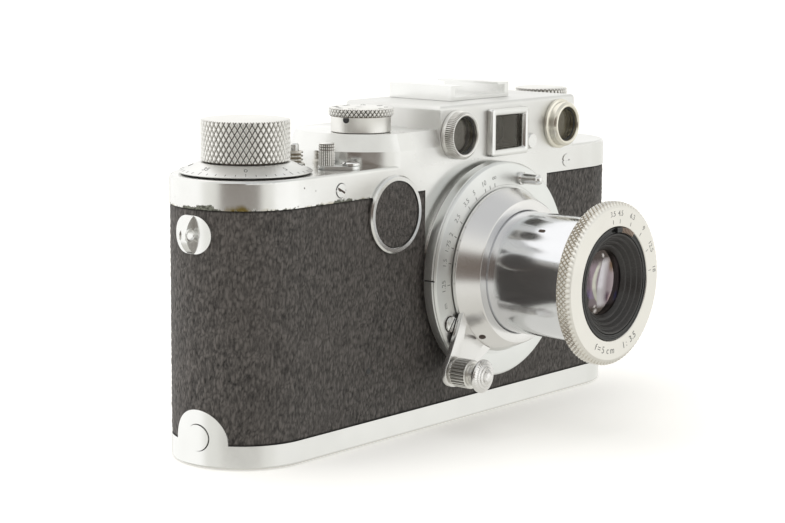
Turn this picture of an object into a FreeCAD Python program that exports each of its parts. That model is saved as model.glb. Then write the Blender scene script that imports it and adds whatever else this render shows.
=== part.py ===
import FreeCAD, Part
import math
import os
import re
import Sketcher

# Screw-mount 35 mm rangefinder camera with a collapsible lens, in millimetres.
# Frame: +Z up, the lens looks along -Y, +X is the rewind end of the body.
# Origin: on the underside of the base plate, at the middle of the body.

doc = FreeCAD.newDocument("rangefinder_camera")

# ---------------------------------------------------------------- driving dimensions
SIZES = {
    # body: a stadium (two half circles joined by straight sides) seen from above
    "end_x": 52.5,                # centre of each round end
    "cover_radius": 15.5,         # metal cover and base plate
    "leather_radius": 15.4,
    "leather_inner": 14.95,
    "shell_radius": 14.9,
    "shell_inner": 13.7,
    "gap": 0.05,                  # assembly gap between neighbours
    "metal": 0.8,                 # sheet thickness of the top cover
    # heights
    "base_top": 5.0,
    "band_bottom": 53.65,
    "deck_top": 59.7,
    "step_top": 62.8,
    "platform_top": 66.5,
    "housing_top": 71.6,
    "floor_thick": 1.0,
    # top cover outline
    "platform_arc_x": -14.2,
    "platform_radius": 16.6,
    "platform_lean": 20.0,        # degrees that the upper wall leans inwards
    "housing_left": -6.5,
    "housing_right": 45.0,
    "housing_back": 12.3,
    "apron_left": -11.5,
    "apron_right": 33.9,
    "apron_radius": 27.6,
    "apron_low": 37.5,
    # lens axis, and distances forward from the middle of the body
    "lens_x": 11.1,
    "lens_z": 34.0,
    "mount_bore": 19.45,
    "mount_face": 16.6,
    "flange_radius": 24.4,
    "flange_face": 20.0,
    "helix_outer": 18.1,
    "helix_inner": 17.3,
    "collar_radius": 18.6,
    "collar_front": 26.0,
    "collar_shoulder": 21.2,      # where the collar starts to taper
    "collar_nose": 16.45,         # radius at the small end of the taper
    "peg_hole_angle": 231.0,
    "peg_hole_reach": 16.5,
    "tube_radius": 13.8,
    "tube_inner": 12.9,
    "tube_back": 21.5,
    "ring_back": 47.25,
    "ring_front": 50.6,
    "ring_radius": 18.0,
    "ring_bevel": 1.3,            # across the front ring's bevel, towards the axis
    "ring_bevel_depth": 0.8,
    "stop_inner": 11.2,           # aperture ring
    "stop_outer": 12.45,
    "cell_outer": 12.85,
    "cell_seat": 7.25,
    "cell_bore": 6.5,
    "front_lens_top": 48.3,
    "front_lens_radius": 7.2,
    "lever_reach": 28.17,
    "lever_angle": 226.5,
    "lever_end": 3.5,
    "lever_root": 7.4,            # half the arm's width where it meets the collar
    "lever_rise": 0.75,           # clear of the flange and its screw
    "lever_thick": 1.2,
    # winding side
    "wind_x": -52.0,
    "wind_radius": 9.35,
    "wind_bottom": 62.25,
    "wind_top": 71.0,
    "counter_radius": 14.0,
    "counter_rim": 9.6,
    "shaft_radius": 2.0,
    "spool_radius": 11.4,
    "spool_core": 6.5,
    # gears share one module
    "tooth_module": 0.6,
    "gear_bottom": 54.2,
    "gear_thick": 2.0,
    "wind_teeth": 20,
    "idler_teeth": 28,
    "sprocket_teeth": 20,
    "drum_teeth": 16,
    "sprocket_x": -24.0,
    "sprocket_y": 6.0,
    "sprocket_radius": 6.05,
    "drum_y": 4.6,
    "drum_radius": 3.7,
    "roller_x": 36.6,
    "roller_y": 5.2,
    "roller_radius": 3.0,
    "follower_x": 29.1,           # rangefinder lever's pivot and roller
    "follower_y": -2.0,
    "contact_y": -9.4,
    "pin_radius": 1.2,
    "plate_bottom": 51.5,
    "plate_top": 53.0,
    "sole_bottom": 7.5,
    "sole_top": 9.0,
    # controls on the deck
    "release_x": -35.5,
    "release_y": 1.5,
    "reverse_x": -32.3,
    "reverse_y": -11.9,
    "reverse_post_x": -35.6,
    "reverse_post_y": -8.0,
    "speed_x": -20.7,
    "speed_y": -4.7,
    "rewind_x": 52.5,
    "rewind_radius": 6.3,
    # windows in the housing
    "finder_z": 65.1,
    "left_window_x": -0.9,
    "right_window_x": 38.1,
    "view_x": 17.5,
    "view_z": 64.65,
    "eyepiece_x": 26.6,
    "window_hole": 4.3,
    "view_wide": 10.5,            # opening of the viewfinder
    "view_tall": 7.3,
    "shoe_x": 17.5,
    "shoe_y": 1.0,
    "shoe_slot": 18.7,
    # front plug
    "plug_x": -22.0,
    "plug_z": 49.4,
    "plug_radius": 8.5,
    # base plate
    "tab_y": -1.3,
    "tab_z": 5.4,
    "tab_radius": 6.65,
    "stud_z": 6.2,
    "stud_radius": 2.75,
    "bush_x": -46.0,
    "bush_top": 5.0,
    "thread_radius": 3.175,
    "key_x": 52.0,
    "key_radius": 8.0,
    # strap lugs
    "lug_y": -0.1,
    "lug_z": 48.4,
    "lug_radius": 3.95,
    "lug_spread": 1.0,
    "lug_reach": 17.95,
    "lug_fin": 1.8,
    "lug_curve": 4.56,
    "eyelet_radius": 0.9,
    "eyelet_reach": 16.75,
    # film path
    "gate_width": 36.0,
    "gate_height": 24.0,
    "cassette_radius": 12.5,
}

sheet = doc.addObject("Spreadsheet::Sheet", "Sizes")
for row, (word, value) in enumerate(SIZES.items(), start=1):
    sheet.set("A%d" % row, word)
    sheet.set("B%d" % row, str(value))
    sheet.setAlias("B%d" % row, word)
doc.recompute()

FORWARD = FreeCAD.Rotation(FreeCAD.Vector(1, 0, 0), 90)     # local +Z looks along -Y
BACKWARD = FreeCAD.Rotation(FreeCAD.Vector(1, 0, 0), -90)   # local +Z looks along +Y
SIDEWAYS = FreeCAD.Rotation(FreeCAD.Vector(0, 1, 0), 90)    # local +Z looks along +X
UPRIGHT = FreeCAD.Rotation()
WORD = re.compile(r"[a-z_]+")


def size(word):
    """The sheet's value for one driving dimension."""
    return float(sheet.get(word))


def formula(text):
    """The same formula with each driving dimension read from the sheet."""
    return WORD.sub(lambda found: "Sizes." + found.group(0) if found.group(0) in SIZES
                    else found.group(0), text)


def number(text):
    """The present value of a formula."""
    plain = WORD.sub(lambda found: "(%.6f)" % size(found.group(0)) if found.group(0) in SIZES
                     else found.group(0), text)
    return FreeCAD.Units.Quantity(plain).Value


def bind(thing, **formulas):
    """Tie an object's properties to formulas of the sheet."""
    for name, text in formulas.items():
        thing.setExpression(name, formula(text))
    return thing


def place(thing, x="0", y="0", z="0", turn=UPRIGHT):
    """Give an object its rotation and tie its position to the sheet."""
    thing.Placement = FreeCAD.Placement(FreeCAD.Vector(), turn)
    for letter, text in zip("xyz", (x, y, z)):
        thing.setExpression("Placement.Base." + letter, formula(text))
    return thing


def cylinder(name, radius, height, x="0", y="0", z="0", turn=UPRIGHT):
    thing = bind(doc.addObject("Part::Cylinder", name), Radius=radius, Height=height)
    return place(thing, x, y, z, turn)


def cone(name, radius_low, radius_high, height, x="0", y="0", z="0", turn=UPRIGHT):
    thing = bind(doc.addObject("Part::Cone", name),
                 Radius1=radius_low, Radius2=radius_high, Height=height)
    return place(thing, x, y, z, turn)


def box(name, wide, deep, high, x="0", y="0", z="0"):
    """A box from its sizes and its lowest corner."""
    thing = bind(doc.addObject("Part::Box", name), Length=wide, Width=deep, Height=high)
    return place(thing, x, y, z)


def centred_box(name, wide, deep, high, x="0", y="0", z="0"):
    """A box centred on x and y, standing on z."""
    return box(name, wide, deep, high,
               "%s - (%s)/2" % (x, wide), "%s - (%s)/2" % (y, deep), z)


def fuse(name, *shapes):
    thing = doc.addObject("Part::MultiFuse", name)
    thing.Shapes = list(shapes)
    thing.Refine = True
    return thing


def common(name, *shapes):
    thing = doc.addObject("Part::MultiCommon", name)
    thing.Shapes = list(shapes)
    return thing


def cut(name, base, *tools):
    thing = doc.addObject("Part::Cut", name)
    thing.Base = base
    thing.Tool = tools[0] if len(tools) == 1 else fuse(name + "_tools", *tools)
    thing.Refine = True
    return thing


def stadium(name, radius, z, height):
    """A solid with two half-round ends centred on -end_x and +end_x."""
    return fuse(name,
                box(name + "_middle", "2*end_x", "2*(%s)" % radius, height,
                    "-end_x", "-(%s)" % radius, z),
                cylinder(name + "_left", radius, height, "-end_x", "0", z),
                cylinder(name + "_right", radius, height, "end_x", "0", z))


def stadium_tube(name, outer, inner, z, height):
    return cut(name, stadium(name + "_outer", outer, z, height),
               stadium(name + "_inner", inner, "%s - 1" % z, "%s + 2" % height))


def rounded(name, base, radius, wanted):
    """Fillet the edges of base that the test wanted picks out."""
    doc.recompute()
    chosen = [(index, radius, radius)
              for index, edge in enumerate(base.Shape.Edges, start=1) if wanted(edge)]
    thing = doc.addObject("Part::Fillet", name)
    thing.Base = base
    thing.Edges = chosen
    return thing


def tie_point(sketch, line, point, text, axis):
    """Hold the start of a line at a formula's distance from the origin along one axis."""
    if text == "0":
        sketch.addConstraint(Sketcher.Constraint("PointOnObject", line, 1, -2 if axis == "X" else -1))
        return
    index = sketch.addConstraint(Sketcher.Constraint("Distance" + axis, -1, 1, line, 1, number(text)))
    sketch.renameConstraint(index, "point_%d_%s" % (point, axis.lower()))
    sketch.setExpression("Constraints.point_%d_%s" % (point, axis.lower()), formula(text))


def polygon_sketch(sketch, corners):
    """Closed outline through the corners, each held by two formulas."""
    points = [FreeCAD.Vector(number(a), number(b), 0) for a, b in corners]
    total = len(points)
    for index in range(total):
        sketch.addGeometry(Part.LineSegment(points[index], points[(index + 1) % total]), False)
    for index in range(total):
        sketch.addConstraint(Sketcher.Constraint("Coincident", index, 2, (index + 1) % total, 1))
    for index, (across, along) in enumerate(corners):
        tie_point(sketch, index, index, across, "X")
        tie_point(sketch, index, index, along, "Y")


def origin_plane(body, role):
    return next(item for item in body.Origin.OriginFeatures if item.Role == role)


def lathe(name, corners, x="0", y="0", z="0", turn=UPRIGHT):
    """A turned part: corners are (radius, distance along the axis)."""
    body = doc.addObject("PartDesign::Body", name)
    sketch = body.newObject("Sketcher::SketchObject", name + "_profile")
    sketch.AttachmentSupport = (origin_plane(body, "XZ_Plane"), [""])
    sketch.MapMode = "FlatFace"
    polygon_sketch(sketch, corners)
    turned = body.newObject("PartDesign::Revolution", name + "_turned")
    turned.Profile = sketch
    turned.ReferenceAxis = (sketch, ["V_Axis"])
    turned.Angle = 360
    body.Tip = turned
    return place(body, x, y, z, turn)


def lens_lathe(name, corners):
    """A turned part on the lens axis, whose distances run forward."""
    return lathe(name, corners, "lens_x", "0", "lens_z", FORWARD)


def shaped(name, shape):
    """A piece whose shape is made by this file's own code from the sheet's sizes."""
    thing = doc.addObject("Part::Feature", name)
    thing.Shape = shape
    return thing


parts = {}


def part(node, thing):
    """Name one finished piece."""
    thing.Label = node
    parts[node] = thing
    return thing


# ---------------------------------------------------------------- body shell and covering
# Small screws through the covering: position across and up, and the side they face.
BODY_SCREWS = [("-30.2", "16.2", FORWARD), ("46", "16.2", FORWARD),
               ("-30.2", "16.2", BACKWARD), ("46", "16.2", BACKWARD)]
# Slotted screws that hold the top cover's band.
BAND_SCREWS = [("-39.5", "56.1", FORWARD), ("41.7", "56.1", FORWARD),
               ("-39.5", "56.1", BACKWARD), ("41.7", "56.1", BACKWARD)]


def make_body():
    shell = stadium_tube("shell_tube", "shell_radius", "shell_inner",
                         "base_top + gap", "band_bottom - base_top - 2*gap")
    opening = cylinder("shell_opening", "mount_bore + 0.6", "cover_radius",
                       "lens_x", "0", "lens_z", FORWARD)
    part("body_shell", cut("shell", shell, opening))

    leather = stadium_tube("leather_tube", "leather_radius", "leather_inner",
                           "base_top + gap", "band_bottom - base_top - 2*gap")
    apron_window = box("apron_window", "apron_right - apron_left + 4*gap", "cover_radius + 1",
                       "band_bottom - lens_z", "apron_left - 2*gap", "-cover_radius - 1", "lens_z")
    mount_window = cylinder("mount_window", "apron_radius + 0.1", "cover_radius + 1",
                            "lens_x", "0", "lens_z", FORWARD)
    flare_zone = box("flare_zone", "40", "cover_radius + 2", "20",
                     "lens_x", "-cover_radius - 2", "apron_low - 0.1")
    flare_window = common("flare_window", mount_window, flare_zone)
    ring_window = cylinder("ring_window", "23.4", "cover_radius + 1",
                           "lens_x", "0", "lens_z", FORWARD)
    lug_window = lug_outline("lug_window", "lug_radius + 0.1", "-75", "150")
    tab_window = cylinder("tab_window", "tab_radius + 0.25", "30",
                          "-80", "tab_y", "tab_z", SIDEWAYS)
    screw_windows = [cylinder("leather_screw_%d" % index, "0.75", "20", x, "0", z, turn)
                     for index, (x, z, turn) in enumerate(BODY_SCREWS)]
    part("body_covering", cut("leather", leather, apron_window, flare_window, ring_window,
                              lug_window, tab_window, *screw_windows))


def make_screws():
    pieces = []
    for index, (x, z, turn) in enumerate(BAND_SCREWS):
        head = cylinder("band_head_%d" % index, "1.45", "1.1", x, "0", z, turn)
        side = "-" if turn is FORWARD else ""
        head.setExpression("Placement.Base.y", formula(side + "(cover_radius - 0.9)"))
        slot = centred_box("band_slot_%d" % index, "4", "0.5", "0.35", x,
                           side + "(cover_radius + 0.25)", "%s - 0.17" % z)
        pieces.append(cut("band_screw_%d" % index, head, slot))
    for index, (x, z, turn) in enumerate(BODY_SCREWS):
        side = "-" if turn is FORWARD else ""
        pieces.append(cylinder("body_screw_%d" % index, "0.65", "0.4", x,
                               side + "(leather_inner + 0.02)", z, turn))
    cap = cone("adjuster_cap", "1.9", "1.6", "0.7", "27.05", "-cover_radius - gap", "61.75",
               FORWARD)
    part("case_screws", fuse("screws", *pieces, cap))


# ---------------------------------------------------------------- top cover
def platform_outline(name, z):
    """Plan outline of the raised platform: flush with front and back, arc at its left end."""
    sketch = doc.addObject("Sketcher::SketchObject", name)
    centre = FreeCAD.Vector(size("platform_arc_x"), 0, 0)
    radius = size("platform_radius")
    side = size("cover_radius")
    right = size("housing_left") + 3
    reach = math.sqrt(radius**2 - side**2)
    corner = centre.x - reach
    circle = Part.Circle(centre, FreeCAD.Vector(0, 0, 1), radius)
    start = math.pi - math.asin(side / radius)
    end = math.pi + math.asin(side / radius)
    sketch.addGeometry(Part.ArcOfCircle(circle, start, end), False)
    front = (FreeCAD.Vector(corner, -side, 0), FreeCAD.Vector(right, -side, 0))
    back = (FreeCAD.Vector(right, side, 0), FreeCAD.Vector(corner, side, 0))
    sketch.addGeometry(Part.LineSegment(*front), False)
    sketch.addGeometry(Part.LineSegment(front[1], back[0]), False)
    sketch.addGeometry(Part.LineSegment(*back), False)
    for first, second in (((0, 2), (1, 1)), ((1, 2), (2, 1)), ((2, 2), (3, 1)), ((3, 2), (0, 1))):
        sketch.addConstraint(Sketcher.Constraint("Coincident", *first, *second))
    sketch.addConstraint(Sketcher.Constraint("Horizontal", 1))
    sketch.addConstraint(Sketcher.Constraint("Vertical", 2))
    sketch.addConstraint(Sketcher.Constraint("Horizontal", 3))
    sketch.addConstraint(Sketcher.Constraint("PointOnObject", 0, 3, -1))
    held = (("radius", Sketcher.Constraint("Radius", 0, radius), "platform_radius"),
            ("arc_x", Sketcher.Constraint("DistanceX", -1, 1, 0, 3, centre.x), "platform_arc_x"),
            ("front", Sketcher.Constraint("DistanceY", -1, 1, 1, 2, -side), "-cover_radius"),
            ("back", Sketcher.Constraint("DistanceY", -1, 1, 3, 1, side), "cover_radius"),
            ("right", Sketcher.Constraint("DistanceX", -1, 1, 2, 1, right), "housing_left + 3"))
    for word, constraint, text in held:
        index = sketch.addConstraint(constraint)
        sketch.renameConstraint(index, word)
        sketch.setExpression("Constraints." + word, formula(text))
    return place(sketch, z=z)


def extrude(name, outline, height, taper="0"):
    thing = doc.addObject("Part::Extrusion", name)
    thing.Base = outline
    thing.DirMode = "Custom"
    thing.Dir = FreeCAD.Vector(0, 0, 1)
    thing.Solid = True
    bind(thing, LengthFwd=height)
    thing.setExpression("TaperAngle", formula(taper))
    return thing


def make_top_cover():
    band = stadium("band", "cover_radius", "band_bottom", "deck_top - band_bottom")
    band_soft = rounded("band_soft", band, 0.7,
                        lambda edge: edge.BoundBox.ZMin > size("deck_top") - 0.01)
    step = extrude("step_block", platform_outline("step_outline", "deck_top - 1"),
                   "step_top - deck_top + 1")
    lean = extrude("lean_block", platform_outline("lean_outline", "step_top"),
                   "platform_top - step_top", "-platform_lean")
    housing = box("housing_block", "housing_right - housing_left", "housing_back + cover_radius",
                  "housing_top - deck_top + 1", "housing_left", "-cover_radius", "deck_top - 1")
    housing_soft = rounded("housing_soft", housing, 0.9, lambda edge: (
        edge.BoundBox.ZMin > size("housing_top") - 0.01
        or edge.BoundBox.ZLength > 5 and edge.BoundBox.YMin > 0
        or edge.BoundBox.ZLength > 5 and edge.BoundBox.XMin > 0))
    apron_sheet = box("apron_sheet", "apron_right - apron_left",
                      "cover_radius - leather_inner", "band_bottom - lens_z",
                      "apron_left", "-cover_radius", "lens_z")
    flare_disc = cylinder("flare_disc", "apron_radius", "cover_radius - leather_inner",
                          "lens_x", "-leather_inner", "lens_z", FORWARD)
    flare_half = box("flare_half", "40", "5", "band_bottom - apron_low", "lens_x",
                     "-cover_radius - 2", "apron_low")
    flare = common("flare", flare_disc, flare_half)
    outside = fuse("cover_outside", band_soft, step, lean, housing_soft, apron_sheet, flare)

    band_room = stadium("band_room", "cover_radius - metal", "band_bottom - 1",
                        "deck_top - metal - band_bottom + 1")
    platform_room = box("platform_room", "19", "24", "platform_top - metal - deck_top + 2",
                        "-23", "-12", "deck_top - 2")
    housing_room = box("housing_room", "housing_right - housing_left - 2*metal",
                       "housing_back + cover_radius - 2*metal", "housing_top - deck_top + 1.2",
                       "housing_left + metal", "metal - cover_radius", "deck_top - 2")
    mount_hole = cylinder("mount_hole", "mount_bore + 0.6", "cover_radius + 1",
                          "lens_x", "0", "lens_z", FORWARD)
    wind_hole = cylinder("wind_hole", "shaft_radius + 0.25", "20", "wind_x", "0", "band_bottom")
    release_hole = cylinder("release_hole", "1.6", "20", "release_x", "release_y", "band_bottom")
    speed_hole = cylinder("speed_hole", "pin_radius + gap", "30", "speed_x", "speed_y",
                          "band_bottom")
    rewind_hole = cylinder("rewind_hole", "shaft_radius + 0.25", "20", "rewind_x", "0",
                           "band_bottom")
    pivot_hole = cylinder("pivot_hole", "1", "20", "reverse_x", "reverse_y", "band_bottom")
    left_hole = cylinder("left_hole", "window_hole", "5", "left_window_x", "-12", "finder_z",
                         FORWARD)
    right_hole = cylinder("right_hole", "window_hole", "5", "right_window_x", "-12", "finder_z",
                          FORWARD)
    view_hole = centred_box("view_hole", "view_wide", "5", "view_tall", "view_x", "-14",
                            "view_z - view_tall/2")
    eye_holes = [cylinder("eye_hole_%d" % index, "3.0", "5", x, "10", "finder_z", BACKWARD)
                 for index, x in enumerate(("view_x", "eyepiece_x"))]
    screw_holes = []
    for index, (x, z, turn) in enumerate(BAND_SCREWS):
        hole = cylinder("band_hole_%d" % index, "1.5", "5", x, "0", z, turn)
        side = "-" if turn is FORWARD else ""
        hole.setExpression("Placement.Base.y", formula(side + "(cover_radius - 2)"))
        screw_holes.append(hole)
    part("top_cover", cut("cover", outside, band_room, platform_room, housing_room, mount_hole,
                          wind_hole, release_hole, speed_hole, rewind_hole, pivot_hole,
                          left_hole, right_hole, view_hole, *eye_holes, *screw_holes))


# ---------------------------------------------------------------- windows and shoe
def make_windows():
    def bezel(node, x, foot, rim, opening):
        part(node, lathe(node, [
            (opening, "cover_radius + gap"), (foot, "cover_radius + gap"),
            (foot, "cover_radius + 0.8"), (rim, "cover_radius + 1.2"),
            (rim, "cover_radius + 2.6"), ("%s - 0.4" % rim, "cover_radius + 3.0"),
            ("%s + 0.25" % opening, "cover_radius + 3.0"), (opening, "cover_radius + 2.7")],
            x, "0", "finder_z", FORWARD))

    bezel("left_rangefinder_bezel", "left_window_x", "5.45", "5.4", "4.2")
    bezel("right_rangefinder_bezel", "right_window_x", "5.8", "5.15", "3.9")

    frame = centred_box("view_frame_block", "14.0", "1.55", "10.8", "view_x",
                        "-cover_radius - gap - 0.775", "view_z - 5.4")
    opening = centred_box("view_frame_hole", "view_wide", "6", "view_tall", "view_x",
                          "-cover_radius", "view_z - view_tall/2")
    frame_soft = rounded("view_frame_soft", frame, 0.5, lambda edge: (
        edge.BoundBox.YMax < -size("cover_radius") - 1 or edge.BoundBox.YLength > 1))
    part("viewfinder_frame", cut("view_frame", frame_soft, opening))

    glasses = [cylinder("left_glass", "4.15", "0.8", "left_window_x",
                        "-cover_radius - 0.9", "finder_z", FORWARD),
               cylinder("right_glass", "3.85", "0.8", "right_window_x",
                        "-cover_radius - 0.9", "finder_z", FORWARD),
               centred_box("view_glass", "view_wide - 2*gap", "0.6", "view_tall - 2*gap",
                           "view_x", "-cover_radius - 0.4", "view_z - view_tall/2 + gap")]
    part("window_glasses", fuse("glasses", *glasses))

    eyes = []
    for index, x in enumerate(("view_x", "eyepiece_x")):
        rim = cylinder("eye_rim_%d" % index, "4.3", "2.4", x, "housing_back + gap",
                       "finder_z", BACKWARD)
        hole = cylinder("eye_bore_%d" % index, "2.6", "6", x, "housing_back - 1",
                        "finder_z", BACKWARD)
        dish = cone("eye_dish_%d" % index, "2.6", "3.6", "1.0", x,
                    "housing_back + gap + 1.4", "finder_z", BACKWARD)
        eyes.append(cut("eye_%d" % index, rim, hole, dish))
    part("eyepieces", fuse("eyes", *eyes))

    shoe = centred_box("shoe_block", "shoe_slot + 3", "18", "3.4", "shoe_x", "shoe_y",
                       "housing_top + gap")
    slot = centred_box("shoe_slot_room", "shoe_slot", "30", "2.1", "shoe_x", "shoe_y",
                       "housing_top + gap + 0.8")
    mouth = centred_box("shoe_mouth", "shoe_slot - 5.2", "30", "4", "shoe_x", "shoe_y",
                        "housing_top + gap + 0.8")
    part("accessory_shoe", cut("shoe", shoe, slot, mouth))


def make_plug():
    front = "cover_radius + gap"
    part("dial_plug", lathe("plug", [
        ("0", front), ("plug_radius", front), ("plug_radius", front + " + 0.45"),
        ("plug_radius - 0.35", front + " + 0.8"), ("plug_radius - 1.15", front + " + 0.8"),
        ("plug_radius - 1.15", front + " + 0.35"), ("0", front + " + 0.35")],
        "plug_x", "0", "plug_z", FORWARD))
    insert = cylinder("plug_insert", "plug_radius - 1.2", "0.35", "plug_x",
                      "-cover_radius - gap - 0.37", "plug_z", FORWARD)
    part("dial_plug_insert", insert)


# ---------------------------------------------------------------- base plate
def make_base():
    tray = cut("tray", stadium("tray_block", "cover_radius", "0", "base_top"),
               stadium("tray_room", "cover_radius - 1", "floor_thick", "base_top"))
    key_boss = cylinder("key_boss", "key_radius + 1.6", "3.4", "key_x")
    bush_boss = cylinder("bush_boss", "6.5", "2.4", "bush_x")
    tab_disc = cylinder("tab_disc", "tab_radius", "20", "-80", "tab_y", "tab_z", SIDEWAYS)
    tab_skin = stadium_tube("tab_skin", "cover_radius", "leather_inner + 0.1", "2", "12")
    tab = common("tab", tab_disc, tab_skin)
    stud_hole = cylinder("stud_hole", "stud_radius + 0.15", "20", "-80", "tab_y", "stud_z",
                         SIDEWAYS)
    key_recess = cylinder("key_recess", "key_radius + 0.1", "2.2", "key_x")
    key_bore = cylinder("key_bore", "3.05", "10", "key_x")
    bush_bore = cylinder("bush_bore", "5.02", "10", "bush_x", "0", "-1")
    body = fuse("tray_and_bosses", tray, key_boss, bush_boss, tab)
    base = cut("base", body, stud_hole, key_recess, key_bore, bush_bore)
    part("base_plate", rounded("base_soft", base, 0.6, lambda edge: (
        edge.BoundBox.ZMax < 0.01 and edge.BoundBox.YLength > 20
        or edge.BoundBox.ZMax < 0.01 and edge.Length > 80)))

    stud_disc = cylinder("stud_disc", "stud_radius", "20", "-80", "tab_y", "stud_z", SIDEWAYS)
    stud_skin = stadium_tube("stud_skin", "cover_radius + 0.3", "leather_inner", "2", "12")
    part("base_hinge_stud", common("stud", stud_disc, stud_skin))

    bush = lathe("bush", [("thread_radius", "0.05"), ("5", "0.05"), ("5", "2.5"),
                          ("4.4", "2.5"), ("4.4", "bush_top"), ("thread_radius", "bush_top")],
                 "bush_x")
    part("tripod_bush", bush)

    disc = lathe("key_disc", [("0", "0.2"), ("key_radius", "0.2"), ("key_radius", "2.1"),
                              ("3", "2.1"), ("3", "4.8"), ("0", "4.8")], "key_x")
    flap_pocket_disc = cylinder("flap_pocket_disc", "key_radius - 0.9", "1", "key_x", "0", "0.1")
    flap_half = box("flap_half", "2*key_radius", "key_radius + 0.5", "1", "key_x - key_radius",
                    "-key_radius", "0.1")
    pocket = common("flap_pocket", flap_pocket_disc, flap_half)
    cam = centred_box("key_cam", "13", "5", "1.2", "key_x", "0", "3.6")
    part("base_lock_key", fuse("key", cut("key_disc_cut", disc, pocket), cam))

    flap_disc = cylinder("flap_disc", "key_radius - 1.1", "0.7", "key_x", "0", "0.3")
    flap_side = box("flap_side", "2*key_radius", "key_radius", "1", "key_x - key_radius",
                    "-key_radius", "0.2")
    finger_hole = cylinder("finger_hole", "key_radius - 4.6", "2", "key_x", "-0.8", "0")
    knuckle = cylinder("flap_knuckle", "0.35", "2*key_radius - 3", "key_x - key_radius + 1.5",
                       "0", "0.65", SIDEWAYS)
    part("base_lock_flap", fuse("flap", knuckle, cut(
        "flap_leaf", common("flap_plate", flap_disc, flap_side), finger_hole)))


# ---------------------------------------------------------------- strap lugs
def lug_outline(name, radius, x, length):
    """Oval bar along X, the shape of a lug seen from the end of the body."""
    front = cylinder(name + "_front", radius, length, x, "lug_y - lug_spread", "lug_z", SIDEWAYS)
    back = cylinder(name + "_back", radius, length, x, "lug_y + lug_spread", "lug_z", SIDEWAYS)
    link = box(name + "_link", length, "2*lug_spread", "2*(%s)" % radius, x,
               "lug_y - lug_spread", "lug_z - (%s)" % radius)
    return fuse(name, front, back, link)


def make_lugs():
    lugs = []
    for side in ("-", ""):
        word = "left" if side else "right"
        disc = lug_outline("lug_disc_" + word, "lug_radius", side + "70 - 10", "20")
        skin = stadium_tube("lug_skin_" + word, "cover_radius + 0.25", "leather_inner",
                            "lug_z - 6", "12")
        plate = common("lug_plate_" + word, disc, skin)
        slice_of_fin = centred_box("lug_slice_" + word, "2.9", "lug_fin", "2*lug_radius",
                                   side + "(end_x + lug_reach - 1.45)", "lug_y",
                                   "lug_z - lug_radius")
        curve = cylinder("lug_curve_" + word, "lug_curve", "4",
                         side + "(end_x + lug_reach - lug_curve)", "lug_y + 2", "lug_z", FORWARD)
        fin = common("lug_fin_" + word, slice_of_fin, curve)
        eyelet = cylinder("lug_eyelet_" + word, "eyelet_radius", "8",
                          side + "(end_x + eyelet_reach)", "lug_y + 4", "lug_z", FORWARD)
        lugs.append(cut("lug_" + word, fuse("lug_solid_" + word, plate, fin), eyelet))
    part("strap_lugs", fuse("lugs", *lugs))


# ---------------------------------------------------------------- gears and film drive
def gear_radius(teeth):
    return size("tooth_module") * size(teeth) / 2


def gear_solid(teeth, centre, bore, phase):
    """A spur gear with straight-sided teeth and some backlash; phase turns it, in degrees."""
    count = int(size(teeth))
    module = size("tooth_module")
    pitch = module * count / 2
    tooth = 360.0 / count
    flank = [(pitch - 1.15 * module, -0.33), (pitch, -0.22), (pitch + 0.85 * module, -0.09),
             (pitch + 0.85 * module, 0.09), (pitch, 0.22), (pitch - 1.15 * module, 0.33)]
    points = []
    for index in range(count):
        for radius, share in flank:
            angle = math.radians(phase + (index + share) * tooth)
            points.append(FreeCAD.Vector(centre[0] + radius * math.cos(angle),
                                         centre[1] + radius * math.sin(angle),
                                         size("gear_bottom")))
    outline = Part.makePolygon(points + points[:1])
    rise = FreeCAD.Vector(0, 0, size("gear_thick"))
    solid = Part.Face(outline).extrude(rise)
    if bore > 0:
        hole = Part.makeCylinder(bore, rise.z, FreeCAD.Vector(centre[0], centre[1],
                                                              size("gear_bottom")))
        solid = solid.cut(hole)
    return solid


def meeting_point(first, first_distance, second, second_distance):
    """The point at the given distances from two centres, on the lens side."""
    across = (second[0] - first[0], second[1] - first[1])
    span = math.hypot(*across)
    along = (first_distance**2 - second_distance**2 + span**2) / (2 * span)
    aside = math.sqrt(first_distance**2 - along**2)
    unit = (across[0] / span, across[1] / span)
    return (first[0] + unit[0] * along + unit[1] * aside,
            first[1] + unit[1] * along - unit[0] * aside)


def mesh_phase(driver_teeth, driver_centre, driver_phase, teeth, centre):
    """Turn a gear so that one of its gaps faces a tooth of the driver."""
    heading = math.degrees(math.atan2(centre[1] - driver_centre[1], centre[0] - driver_centre[0]))
    driver_pitch = 360.0 / size(driver_teeth)
    own_pitch = 360.0 / size(teeth)
    driver_share = ((heading - driver_phase) / driver_pitch) % 1.0
    return heading + 180.0 + (0.5 + driver_share) * own_pitch


wind_centre = (size("wind_x"), 0.0)
sprocket_centre = (size("sprocket_x"), size("sprocket_y"))
idler_centre = meeting_point(wind_centre, gear_radius("wind_teeth") + gear_radius("idler_teeth"),
                             sprocket_centre,
                             gear_radius("sprocket_teeth") + gear_radius("idler_teeth"))
drum_rise = size("sprocket_y") - size("drum_y")
drum_run = math.sqrt((gear_radius("sprocket_teeth") + gear_radius("drum_teeth"))**2 - drum_rise**2)
drum_centre = (size("sprocket_x") + drum_run, size("drum_y"))
idler_phase = mesh_phase("wind_teeth", wind_centre, 0.0, "idler_teeth", idler_centre)
sprocket_phase = mesh_phase("idler_teeth", idler_centre, idler_phase, "sprocket_teeth",
                            sprocket_centre)
drum_phase = mesh_phase("sprocket_teeth", sprocket_centre, sprocket_phase, "drum_teeth",
                        drum_centre)
IDLER_X, IDLER_Y = ("%.4f" % value for value in idler_centre)
DRUM_X, DRUM_Y = ("%.4f" % value for value in drum_centre)


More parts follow.
